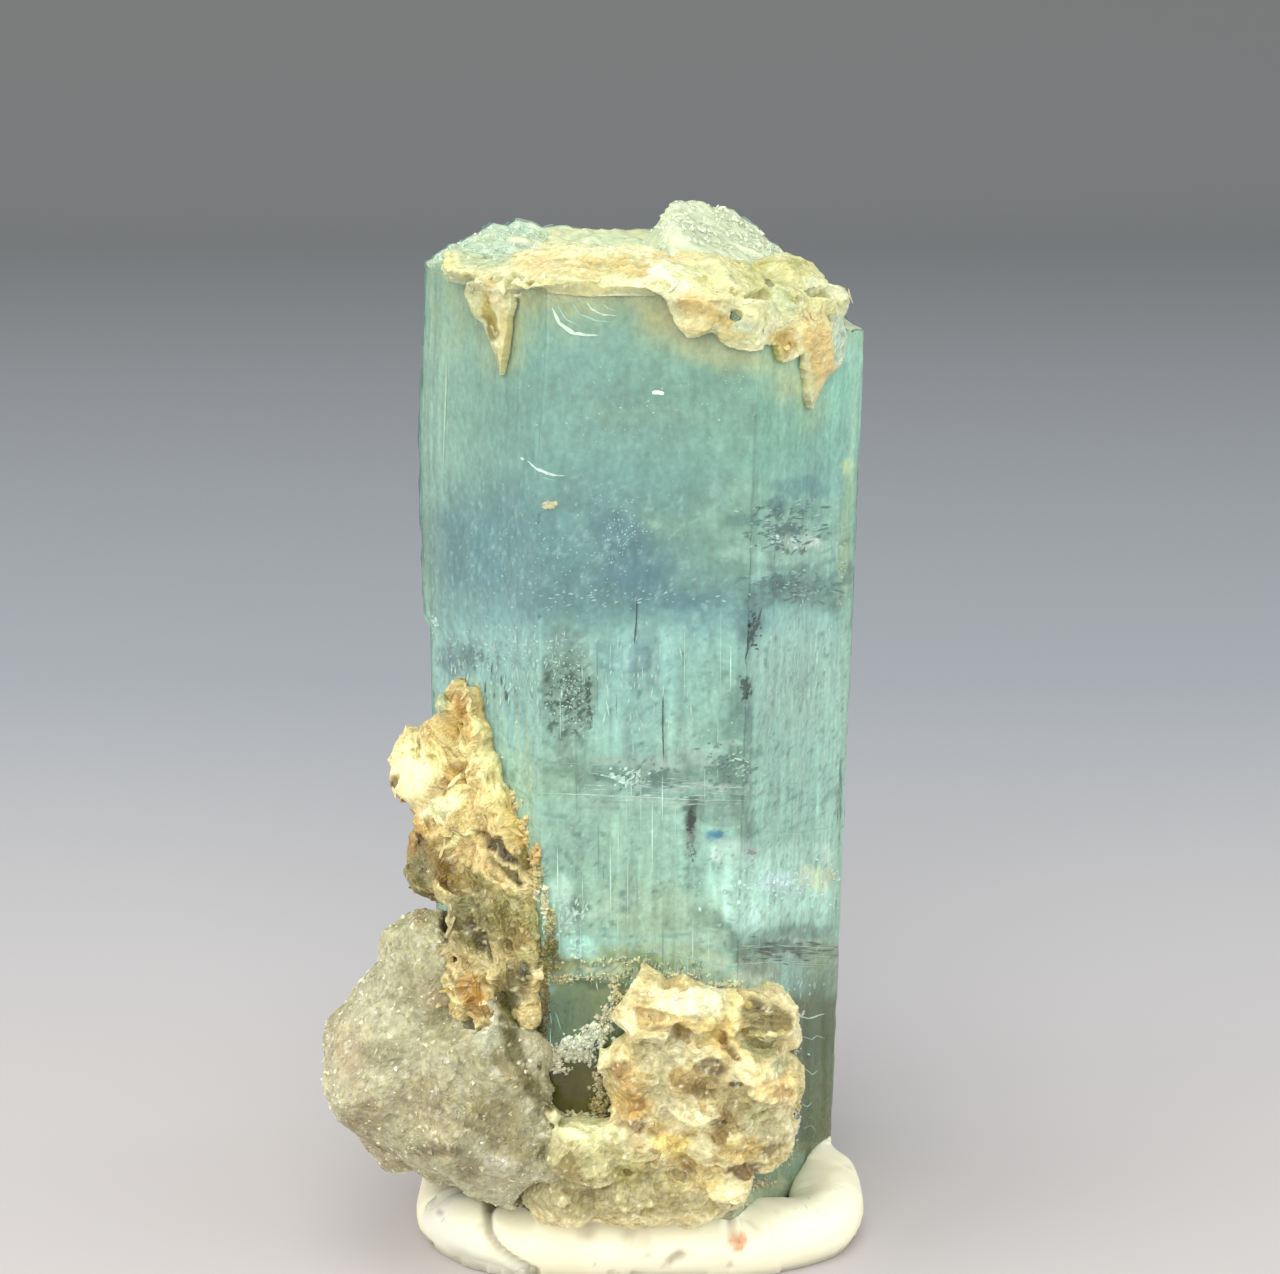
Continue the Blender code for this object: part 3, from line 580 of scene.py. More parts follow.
# the same for the matrix, with a lift in millimetres at the end; the colours are each piece's own colours with painted
# shade in its hollows and painted highlights where it is lit
CRUST_STROKES = (
    (1.17, 12.02, 1.64, 0.68, 6, 0.3, 237, 231, 189, 0.95, 0.16),
    (2.35, 12.14, 0.86, 0.68, 8, 0.3, 231, 229, 192, 0.9, 0.1),
    (-0.16, 12.02, 0.55, 1.02, 16, 0.3, 223, 206, 154, 0.95, 0.08),
    (-0.39, 11.29, 0.47, 0.51, 0, 0.4, 236, 225, 177, 0.9, 0.06),
    (-1.10, 10.95, 0.55, 0.51, 0, 0.4, 230, 227, 184, 0.9, 0.02),
    (0.59, 11.38, 0.78, 0.26, 14, 0.3, 200, 175, 120, 0.9, -0.08),
    (1.57, 11.12, 0.78, 0.30, 12, 0.3, 227, 204, 138, 0.9, 0.06),
    (1.10, 10.87, 1.02, 0.17, 10, 0.3, 164, 137, 87, 0.9, -0.14),
    (3.06, 10.87, 0.71, 0.68, 0, 0.4, 223, 202, 134, 0.9, 0.04),
    (3.22, 10.44, 0.31, 0.60, 0, 0.3, 229, 200, 129, 0.8, 0.06),
    (0.94, 10.09, 0.94, 0.77, 0, 0.35, 199, 190, 150, 0.95, -0.04),
    (1.26, 10.27, 0.47, 0.34, 30, 0.3, 222, 214, 174, 0.85, 0.04),
    (1.97, 9.75, 0.39, 0.43, 0, 0.4, 191, 180, 135, 0.9, -0.02),
    (2.36, 10.44, 0.39, 0.34, 0, 0.4, 221, 209, 159, 0.8, 0.03),
    (0.47, 8.72, 0.47, 0.95, 0, 0.4, 202, 193, 148, 0.95, -0.02),
    (2.13, 8.63, 1.03, 0.56, 4, 0.3, 155, 134, 84, 0.85, -0.06),
    (2.83, 9.24, 0.55, 0.39, 12, 0.3, 113, 95, 56, 0.85, -0.12),
    (1.42, 8.89, 0.47, 0.39, 0, 0.4, 171, 148, 91, 0.85, -0.04),
    (2.45, 8.20, 0.55, 0.30, 0, 0.4, 133, 114, 71, 0.75, -0.08),
    (1.98, 7.42, 0.95, 0.57, 10, 0.3, 214, 203, 160, 0.95, 0.06),
    (2.53, 6.90, 0.55, 0.31, 0, 0.3, 222, 211, 168, 0.85, 0.06),
    (1.11, 7.77, 0.40, 0.43, 0, 0.4, 190, 182, 147, 0.8, 0),
    (3.95, 7.51, 1.03, 1.04, 0, 0.4, 165, 150, 104, 0.95, -0.02),
    (3.49, 6.81, 0.55, 0.44, 0, 0.4, 146, 128, 81, 0.85, -0.06),
    (4.99, 7.07, 0.71, 0.61, -20, 0.4, 196, 191, 147, 0.85, 0.02),
    (3.93, 9.75, 0.35, 1.03, -28, 0.25, 238, 222, 165, 0.95, 0.2),
    (4.57, 8.80, 0.39, 0.69, -20, 0.25, 235, 216, 162, 0.95, 0.2),
    (4.02, 9.06, 0.32, 0.69, -20, 0.3, 245, 232, 186, 0.8, 0.12),
    (3.75, 8.46, 0.32, 0.17, 0, 0.4, 85, 60, 36, 0.85, -0.16),
    (3.42, 10.18, 0.20, 0.69, -28, 0.3, 142, 112, 63, 0.85, -0.12),
    (5.37, 8.29, 0.71, 0.56, 6, 0.3, 218, 191, 130, 0.85, 0.12),
    (5.60, 8.29, 0.32, 0.30, 0, 0.35, 193, 158, 100, 0.7, 0.06),
    (4.82, 7.94, 0.47, 0.26, 10, 0.3, 238, 222, 165, 0.85, 0.14),
    (5.91, 8.80, 0.20, 0.95, -4, 0.3, 234, 212, 150, 0.9, 0.08),
    (4.79, 10.44, 0.79, 0.69, 0, 0.35, 159, 153, 106, 0.95, -0.08),
    (5.01, 11.46, 1.10, 0.64, 14, 0.25, 130, 119, 74, 0.95, -0.06),
    (4.54, 12.02, 0.55, 0.34, 10, 0.3, 95, 84, 47, 0.9, -0.1),
    (5.72, 11.21, 0.35, 0.55, 10, 0.3, 135, 116, 63, 0.85, 0),
    (5.10, 10.74, 0.86, 0.13, -8, 0.3, 205, 195, 134, 0.85, 0.05),
    (3.99, 12.14, 0.63, 0.21, 18, 0.3, 213, 196, 137, 0.9, 0.08),
    (3.72, 11.38, 0.23, 0.68, -28, 0.3, 226, 211, 152, 0.85, 0.1),
    (4.12, 10.87, 0.20, 0.56, -24, 0.3, 154, 129, 74, 0.8, -0.06),
    (5.51, 9.49, 0.39, 0.43, 0, 0.4, 181, 179, 136, 0.85, 0),
    (-0.39, 8.07, 0.71, 1.13, 4, 0.3, 196, 163, 101, 0.9, 0.02),
    (0.00, 7.42, 0.55, 0.52, 0, 0.3, 201, 167, 99, 0.8, 0.04),
    (-0.87, 9.15, 0.47, 0.39, 0, 0.35, 150, 118, 68, 0.9, -0.08),
    (-0.55, 9.92, 0.47, 0.39, 0, 0.4, 223, 206, 154, 0.85, 0.03),
    (-1.34, 8.37, 0.28, 0.87, 0, 0.35, 187, 170, 117, 0.9, -0.02),
    (-1.57, 9.79, 0.28, 0.77, 0, 0.4, 233, 227, 184, 0.9, 0.04),
    (-0.08, 8.80, 0.32, 0.43, 0, 0.4, 218, 196, 138, 0.8, 0.02),
    (-0.79, 6.77, 0.48, 0.31, 0, 0.4, 154, 129, 86, 0.85, -0.1),
    (-0.08, 6.63, 0.48, 0.31, 0, 0.4, 143, 114, 78, 0.8, -0.12),
    (0.79, 6.63, 0.40, 0.26, 0, 0.4, 183, 160, 101, 0.7, 0),
    (-2.18, 6.46, 1.51, 0.66, 8, 0.3, 223, 219, 172, 0.97, 0.14),
    (-1.59, 6.02, 0.95, 0.44, 12, 0.3, 215, 211, 163, 0.9, 0.1),
    (-3.17, 6.90, 0.55, 0.31, 0, 0.4, 207, 205, 162, 0.85, 0.06),
    (-3.78, 5.01, 1.83, 1.23, 0, 0.5, 175, 167, 125, 0.95, 0),
    (-1.11, 4.71, 1.99, 0.88, 8, 0.4, 186, 179, 129, 0.95, 0),
    (-1.20, 3.82, 2.39, 0.71, 4, 0.4, 191, 181, 135, 0.9, 0.02),
    (-3.19, 3.69, 2.00, 0.80, 6, 0.4, 167, 157, 116, 0.9, 0),
    (-0.48, 4.57, 0.72, 0.44, 0, 0.4, 180, 170, 106, 0.8, 0),
    (1.43, 5.76, 0.95, 0.57, 10, 0.3, 229, 207, 131, 0.85, 0.04),
    (0.95, 5.85, 0.48, 0.31, 0, 0.3, 236, 217, 143, 0.75, 0.05),
    (1.99, 5.23, 0.64, 0.35, 0, 0.4, 208, 185, 107, 0.85, 0),
    (1.83, 4.88, 0.28, 0.57, 0, 0.3, 151, 123, 70, 0.8, -0.06),
    (2.46, 5.59, 0.48, 0.53, 10, 0.3, 222, 213, 170, 0.9, 0.08),
    (1.28, 3.91, 0.88, 0.53, 0, 0.4, 199, 185, 129, 0.85, 0.02),
    (2.59, 4.27, 0.80, 0.53, 0, 0.4, 204, 184, 122, 0.85, 0.02),
    (4.05, 5.59, 0.95, 0.44, -12, 0.3, 198, 174, 110, 0.85, 0),
    (3.25, 6.11, 0.48, 0.35, 20, 0.3, 143, 117, 63, 0.85, -0.08),
    (3.77, 5.94, 0.24, 0.26, 0, 0.3, 237, 221, 157, 0.8, 0.06),
    (4.18, 4.79, 0.88, 0.26, -16, 0.3, 121, 94, 54, 0.85, -0.1),
    (4.78, 4.35, 0.88, 0.18, -18, 0.3, 193, 176, 130, 0.8, 0.02),
    (5.39, 6.29, 0.63, 0.70, -30, 0.35, 192, 183, 141, 0.85, 0),
    (5.74, 6.98, 0.24, 0.61, -30, 0.3, 229, 221, 182, 0.75, 0.04),
    (5.24, 5.67, 0.56, 0.18, -28, 0.3, 144, 121, 77, 0.8, -0.05),
    (0.00, 3.11, 3.60, 0.44, -1, 0.4, 174, 163, 117, 0.8, 0),
    (-4.01, 9.58, 0.31, 1.72, -14, 0.3, 69, 67, 35, 0.97, -0.04),
    (-4.08, 10.87, 0.31, 0.68, 0, 0.4, 100, 86, 48, 0.8, 0),
    (-3.75, 7.85, 0.32, 0.69, -20, 0.3, 91, 89, 49, 0.9, -0.04),
    (-4.24, 10.87, 0.35, 0.51, 0, 0.4, 221, 215, 174, 0.7, 0.04),
)
MICA_STROKES = (
    (-8.78, 21.59, 0.99, 1.13, 0, 0.3, 245, 230, 181, 1, 0.12),
    (-8.71, 21.43, 0.53, 0.61, 0, 0.4, 250, 238, 191, 0.9, 0.06),
    (-7.62, 22.08, 0.53, 0.73, 0, 0.4, 237, 216, 159, 0.9, 0),
    (-9.52, 20.94, 0.19, 0.49, 16, 0.3, 145, 113, 64, 0.95, -0.06),
    (-9.27, 20.21, 0.46, 0.37, 40, 0.4, 200, 161, 100, 0.9, 0),
    (-8.75, 19.64, 0.84, 0.49, 44, 0.4, 193, 153, 89, 0.95, 0),
    (-9.07, 18.74, 0.54, 0.41, 40, 0.4, 168, 122, 61, 0.9, -0.04),
    (-8.50, 18.70, 0.46, 0.25, 40, 0.3, 99, 69, 33, 0.95, -0.14),
    (-7.60, 23.37, 0.49, 1.04, 0, 0.35, 212, 183, 127, 0.95, 0),
    (-7.58, 24.41, 0.38, 0.48, 0, 0.3, 159, 161, 131, 0.95, 0),
    (-6.84, 23.53, 0.61, 1.20, -6, 0.35, 208, 173, 107, 0.97, 0),
    (-6.79, 24.25, 0.34, 0.52, -14, 0.3, 170, 126, 63, 0.9, -0.04),
    (-6.30, 23.61, 0.19, 0.72, -12, 0.3, 238, 218, 160, 0.85, 0.05),
    (-7.24, 22.48, 0.99, 0.48, 0, 0.4, 233, 208, 149, 0.9, 0),
    (-6.17, 22.16, 0.84, 0.65, 30, 0.4, 237, 216, 159, 0.9, 0.04),
    (-6.87, 21.35, 0.84, 0.57, -34, 0.3, 200, 163, 100, 0.92, -0.05),
    (-6.49, 21.67, 0.61, 0.12, -42, 0.3, 247, 234, 184, 0.85, 0.06),
    (-6.96, 20.86, 0.76, 0.12, -30, 0.3, 244, 228, 172, 0.8, 0.06),
    (-7.39, 20.21, 1.00, 0.37, -24, 0.3, 250, 240, 198, 0.92, 0.06),
    (-6.20, 20.54, 0.54, 0.37, -40, 0.35, 222, 194, 134, 0.85, 0),
    (-5.36, 20.46, 0.84, 0.98, 40, 0.4, 228, 202, 143, 0.9, 0),
    (-5.54, 21.27, 0.46, 0.65, -30, 0.35, 244, 226, 172, 0.85, 0.04),
    (-4.69, 19.03, 0.61, 1.23, -24, 0.3, 211, 182, 116, 0.95, 0.04),
    (-4.47, 18.08, 0.54, 0.49, 20, 0.3, 133, 112, 56, 0.9, 0),
    (-4.23, 18.49, 0.23, 0.66, -20, 0.3, 168, 153, 94, 0.8, 0.04),
    (-6.22, 19.23, 1.15, 0.41, 30, 0.35, 216, 189, 130, 0.9, 0),
    (-7.69, 18.57, 0.92, 0.41, -30, 0.35, 151, 123, 64, 0.9, 0),
    (-6.92, 18.90, 0.85, 0.16, -28, 0.3, 240, 222, 167, 0.8, 0.05),
    (-5.39, 18.33, 0.85, 0.21, 40, 0.25, 67, 55, 22, 0.92, -0.14),
    (-5.84, 18.90, 0.61, 0.12, 38, 0.3, 116, 93, 49, 0.8, -0.1),
    (-4.94, 17.34, 0.54, 0.21, 44, 0.3, 77, 66, 30, 0.85, -0.1),
    (-5.40, 17.75, 0.69, 0.17, 40, 0.3, 124, 108, 56, 0.8, 0),
    (-7.71, 17.67, 1.00, 0.58, 36, 0.35, 127, 96, 40, 0.95, 0),
    (-8.32, 17.92, 0.39, 0.58, 0, 0.4, 143, 113, 58, 0.85, 0),
    (-6.56, 17.17, 1.00, 0.37, 30, 0.35, 145, 122, 64, 0.9, 0),
    (-7.34, 16.92, 0.77, 0.21, 34, 0.3, 103, 73, 29, 0.85, -0.06),
    (-5.95, 17.01, 0.62, 0.17, 36, 0.3, 168, 154, 99, 0.75, 0.04),
    (-8.72, 17.17, 0.66, 1.41, 6, 0.4, 130, 118, 77, 0.97, 0),
    (-9.13, 16.51, 0.39, 0.83, 4, 0.4, 139, 122, 77, 0.8, 0),
    (-8.20, 16.14, 0.54, 0.58, 0, 0.4, 114, 102, 66, 0.85, 0),
    (-8.37, 15.64, 0.50, 0.29, 10, 0.3, 69, 59, 31, 0.95, -0.16),
    (-9.14, 15.72, 0.39, 0.29, 0, 0.4, 143, 125, 75, 0.8, 0),
    (-6.36, 15.30, 1.09, 1.42, 0, 0.4, 130, 118, 78, 0.95, 0),
    (-6.66, 16.09, 0.54, 0.42, 20, 0.4, 138, 131, 91, 0.85, 0.03),
    (-6.29, 14.67, 0.19, 0.92, -26, 0.3, 76, 61, 30, 0.8, -0.12),
    (-6.98, 15.09, 0.16, 0.75, -26, 0.3, 84, 67, 34, 0.7, -0.08),
    (-4.85, 15.51, 1.01, 1.09, 30, 0.4, 151, 137, 84, 0.95, 0),
    (-4.47, 14.67, 0.70, 0.76, 0, 0.35, 134, 109, 51, 0.9, 0),
    (-4.36, 13.92, 0.54, 0.51, 0, 0.4, 194, 178, 126, 0.85, 0),
    (-5.11, 16.34, 0.54, 0.29, 36, 0.35, 162, 150, 100, 0.8, 0.04),
    (-3.88, 15.30, 0.31, 0.84, -26, 0.3, 166, 156, 100, 0.8, 0.06),
    (-3.69, 14.25, 0.23, 0.67, -6, 0.35, 119, 115, 66, 0.8, -0.04),
    (-7.70, 14.25, 0.93, 1.09, 0, 0.45, 176, 156, 115, 0.9, 0),
    (-8.08, 14.88, 0.54, 0.59, 0, 0.4, 123, 114, 75, 0.8, 0),
    (-7.21, 13.33, 0.94, 0.76, 40, 0.4, 203, 179, 131, 0.9, 0),
    (-7.79, 13.50, 0.12, 0.93, -34, 0.3, 224, 206, 159, 0.75, 0.06),
    (-7.33, 12.99, 0.12, 0.85, -34, 0.3, 219, 198, 147, 0.7, 0.05),
    (-7.56, 13.20, 0.12, 0.85, -34, 0.3, 122, 89, 47, 0.75, -0.08),
    (-6.64, 12.48, 0.51, 0.76, -16, 0.35, 182, 134, 64, 0.9, 0),
    (-6.10, 12.06, 0.43, 0.51, 0, 0.35, 187, 138, 63, 0.9, 0),
    (-5.78, 12.78, 0.35, 0.68, -6, 0.3, 202, 173, 118, 0.8, 0.03),
    (-6.34, 11.63, 0.55, 0.34, 0, 0.4, 144, 107, 53, 0.85, -0.04),
    (-4.99, 12.91, 0.70, 0.85, 0, 0.4, 119, 104, 60, 0.95, -0.06),
    (-4.52, 13.20, 0.31, 0.42, 0, 0.4, 80, 72, 39, 0.85, -0.1),
    (-5.45, 13.62, 0.39, 0.42, 0, 0.4, 188, 168, 121, 0.8, 0.02),
    (-5.16, 12.14, 0.47, 0.42, 0, 0.4, 103, 97, 58, 0.9, -0.06),
)
ALBITE_STROKES = (
    (-11.57, 10.65, 1.02, 1.54, 0, 0.5, 204, 192, 154, 0.8, 0),
    (-10.93, 12.78, 1.33, 1.10, -46, 0.5, 206, 204, 166, 0.85, 0),
    (-9.32, 14.67, 0.93, 1.09, -30, 0.5, 198, 196, 156, 0.85, 0),
    (-9.21, 11.08, 1.18, 0.60, 20, 0.5, 208, 206, 168, 0.8, 0.03),
    (-10.03, 9.79, 1.34, 0.60, 10, 0.5, 172, 166, 126, 0.8, -0.03),
    (-11.41, 9.36, 0.55, 1.12, 0, 0.5, 200, 182, 146, 0.8, 0),
    (-12.20, 9.58, 0.20, 1.55, 0, 0.5, 208, 196, 160, 0.5, 0),
    (-11.05, 8.29, 1.34, 0.39, 36, 0.4, 206, 196, 160, 0.75, 0.04),
    (-10.89, 6.98, 0.79, 0.96, 30, 0.5, 184, 168, 130, 0.7, 0),
    (-11.41, 6.77, 0.28, 0.79, 40, 0.5, 192, 172, 130, 0.5, 0),
    (-10.64, 5.76, 0.79, 0.22, 30, 0.5, 186, 166, 122, 0.5, 0),
    (-9.75, 5.01, 0.64, 0.22, 20, 0.5, 196, 172, 124, 0.6, 0),
    (-7.87, 9.58, 1.34, 1.12, 30, 0.5, 200, 194, 158, 0.8, 0.03),
    (-6.90, 8.50, 1.03, 0.78, 30, 0.5, 208, 202, 164, 0.8, 0.04),
    (-8.69, 7.85, 1.19, 1.13, 30, 0.5, 178, 166, 126, 0.75, -0.02),
    (-9.01, 7.85, 1.03, 0.17, 50, 0.4, 216, 206, 172, 0.6, 0.05),
    (-7.93, 6.55, 0.79, 0.52, 20, 0.5, 196, 184, 142, 0.75, 0),
    (-8.41, 6.20, 0.63, 0.39, 0, 0.4, 222, 210, 170, 0.7, 0.05),
    (-7.95, 5.50, 1.19, 0.26, 0, 0.5, 152, 136, 96, 0.8, -0.08),
    (-6.72, 7.64, 0.95, 0.39, 10, 0.5, 180, 168, 124, 0.7, 0),
    (-5.89, 5.23, 1.19, 0.88, 8, 0.4, 206, 202, 170, 0.85, 0.05),
    (-5.73, 5.06, 0.48, 0.31, 20, 0.35, 226, 224, 200, 0.8, 0.06),
    (-6.77, 4.79, 0.48, 0.57, 0, 0.4, 176, 162, 126, 0.7, 0),
    (-5.54, 6.98, 1.19, 0.87, 10, 0.5, 180, 170, 124, 0.85, 0),
    (-4.96, 5.89, 1.19, 0.61, 10, 0.5, 170, 158, 112, 0.8, 0),
    (-6.86, 11.29, 0.71, 0.85, 30, 0.5, 184, 178, 140, 0.8, 0),
    (-5.97, 10.44, 0.55, 0.86, 0, 0.4, 204, 206, 176, 0.85, 0.04),
    (-5.74, 10.01, 0.24, 0.39, 0, 0.4, 222, 224, 196, 0.7, 0.04),
    (-7.82, 12.14, 0.55, 0.59, 30, 0.5, 184, 166, 122, 0.7, 0),
    (-5.17, 11.38, 0.39, 1.19, -14, 0.35, 120, 118, 58, 0.9, -0.06),
    (-4.76, 9.79, 0.35, 1.03, -20, 0.35, 112, 106, 46, 0.95, -0.06),
    (-4.26, 8.55, 0.35, 0.95, -26, 0.35, 130, 118, 62, 0.9, -0.04),
    (-5.28, 9.24, 0.39, 0.86, -34, 0.4, 160, 148, 100, 0.8, 0),
    (-5.47, 12.23, 0.39, 0.51, 0, 0.4, 120, 112, 64, 0.85, -0.04),
    (-8.52, 15.72, 0.39, 0.33, 0, 0.4, 176, 160, 118, 0.7, 0),
    (-10.95, 11.80, 1.02, 0.21, -44, 0.4, 224, 220, 184, 0.6, 0.03),
    (-10.45, 8.72, 1.73, 0.13, 20, 0.4, 216, 206, 168, 0.5, 0.03),
    (-7.32, 6.98, 1.98, 0.17, 24, 0.4, 150, 136, 98, 0.6, -0.05),
)
CREST_STROKES = (
    (-5.72, 41.71, 1.23, 0.58, 4, 0.35, 189, 201, 171, 0.97, 0),
    (-6.71, 41.20, 0.44, 0.37, 0, 0.35, 238, 228, 167, 0.95, 0.06),
    (-7.07, 41.35, 0.29, 0.26, 0, 0.4, 232, 222, 152, 0.8, 0.02),
    (-5.80, 41.20, 0.87, 0.22, 0, 0.4, 206, 206, 164, 0.8, 0),
    (-2.90, 41.42, 1.88, 0.58, 2, 0.35, 246, 232, 180, 0.97, 0.04),
    (-3.70, 41.20, 0.73, 0.51, -20, 0.4, 245, 214, 157, 0.9, 0.02),
    (-3.98, 41.82, 0.51, 0.26, 0, 0.4, 248, 236, 190, 0.8, 0.02),
    (-1.81, 41.20, 1.09, 0.15, 2, 0.3, 227, 198, 131, 0.85, -0.06),
    (-2.36, 40.83, 1.09, 0.15, 0, 0.3, 231, 206, 144, 0.8, -0.04),
    (-1.45, 41.64, 1.30, 0.15, -2, 0.3, 250, 240, 196, 0.8, 0.05),
    (-0.80, 41.20, 0.51, 0.37, -20, 0.35, 230, 202, 131, 0.85, 0),
    (0.00, 40.98, 0.44, 0.33, 0, 0.4, 224, 190, 115, 0.8, -0.03),
    (1.16, 41.49, 0.94, 0.33, 6, 0.35, 247, 216, 159, 0.9, 0.03),
    (0.00, 41.64, 0.80, 0.18, -4, 0.4, 252, 242, 199, 0.8, 0.04),
    (0.83, 40.80, 0.58, 0.22, 24, 0.25, 256, 252, 224, 0.97, 0.12),
    (1.45, 40.39, 0.58, 0.26, 20, 0.25, 256, 252, 222, 0.97, 0.12),
    (2.91, 40.10, 1.09, 0.33, 2, 0.35, 245, 228, 175, 0.9, 0.05),
    (2.18, 40.61, 0.73, 0.26, 10, 0.4, 239, 222, 161, 0.8, 0),
    (2.72, 40.83, 1.09, 0.26, 6, 0.4, 222, 216, 161, 0.85, 0),
    (1.82, 39.62, 0.33, 0.26, 0, 0.35, 223, 173, 105, 0.9, 0.02),
    (2.19, 39.44, 0.66, 0.52, 20, 0.35, 236, 204, 138, 0.9, 0.04),
    (2.04, 38.77, 0.51, 0.37, 0, 0.4, 245, 224, 167, 0.85, 0.04),
    (3.06, 39.00, 0.51, 0.30, 0, 0.35, 226, 196, 119, 0.85, 0),
    (3.83, 38.77, 0.51, 0.33, 0, 0.35, 207, 212, 183, 0.9, 0.02),
    (3.29, 38.51, 0.73, 0.22, 6, 0.4, 225, 206, 146, 0.8, 0.02),
    (4.54, 40.72, 0.94, 0.73, 0, 0.4, 218, 210, 147, 0.95, 0),
    (5.81, 40.91, 0.80, 0.59, 20, 0.4, 225, 212, 150, 0.9, 0),
    (4.65, 40.39, 0.18, 0.15, 0, 0.3, 119, 104, 58, 0.85, -0.1),
    (4.21, 41.20, 0.33, 0.26, 0, 0.4, 205, 190, 121, 0.7, -0.02),
    (5.62, 41.20, 0.29, 0.18, 20, 0.4, 190, 184, 118, 0.7, -0.04),
    (5.28, 39.81, 0.73, 0.48, 30, 0.4, 211, 212, 164, 0.9, 0),
    (6.25, 40.47, 0.29, 0.26, 0, 0.35, 240, 236, 190, 0.8, 0.05),
    (6.01, 39.81, 0.80, 0.18, 20, 0.3, 189, 176, 109, 0.7, -0.05),
    (6.56, 39.44, 0.66, 0.59, 30, 0.4, 228, 214, 153, 0.9, 0),
    (4.81, 39.14, 0.80, 0.37, 14, 0.4, 232, 222, 169, 0.9, 0.03),
    (5.30, 38.25, 0.48, 0.59, 0, 0.35, 212, 176, 94, 0.95, 0),
    (4.98, 37.88, 0.26, 0.48, 0, 0.35, 235, 214, 146, 0.8, 0.04),
    (6.28, 38.51, 0.73, 0.74, 0, 0.35, 244, 212, 146, 0.97, 0.05),
    (6.59, 37.77, 0.59, 0.89, -16, 0.35, 240, 204, 135, 0.95, 0.04),
    (5.85, 37.96, 0.22, 0.82, -16, 0.3, 247, 230, 173, 0.8, 0.06),
    (6.96, 37.14, 0.44, 0.67, -10, 0.35, 238, 206, 144, 0.9, 0.02),
    (6.61, 36.39, 0.37, 0.34, 0, 0.4, 239, 216, 165, 0.8, 0.03),
    (5.68, 37.51, 0.44, 0.34, 10, 0.35, 250, 236, 190, 0.8, 0.06),
    (7.68, 38.14, 0.55, 0.97, -8, 0.3, 192, 207, 188, 0.95, -0.06),
    (7.63, 36.99, 0.40, 0.60, -10, 0.3, 207, 218, 199, 0.95, -0.04),
    (7.52, 38.88, 0.44, 0.37, 0, 0.35, 205, 216, 196, 0.8, -0.03),
    (7.07, 39.14, 0.15, 0.15, 0, 0.3, 111, 124, 109, 0.6, -0.08),
    (5.28, 36.84, 0.48, 0.45, 0, 0.4, 197, 199, 152, 0.8, 0),
    (6.00, 35.79, 0.29, 0.49, 0, 0.35, 188, 190, 142, 0.95, 0),
    (6.00, 35.41, 0.22, 0.19, 0, 0.3, 227, 226, 189, 0.8, 0.02),
    (-5.27, 40.17, 0.51, 0.51, 0, 0.35, 239, 216, 159, 0.92, 0.02),
    (-5.02, 40.17, 0.25, 0.33, 10, 0.3, 254, 246, 203, 0.9, 0.1),
    (-5.58, 39.14, 0.29, 0.81, -8, 0.3, 181, 160, 78, 0.95, -0.06),
    (-5.58, 38.70, 0.18, 0.44, -8, 0.35, 149, 128, 52, 0.8, -0.04),
    (-4.96, 38.88, 0.22, 0.81, 4, 0.3, 225, 204, 147, 0.9, 0.05),
    (-5.20, 37.59, 0.29, 0.52, 6, 0.35, 221, 204, 147, 0.9, 0.02),
    (-5.56, 38.14, 0.44, 0.07, 34, 0.3, 250, 236, 181, 0.7, 0.05),
    (-6.19, 39.81, 0.36, 0.74, 0, 0.4, 200, 196, 148, 0.8, 0),
)
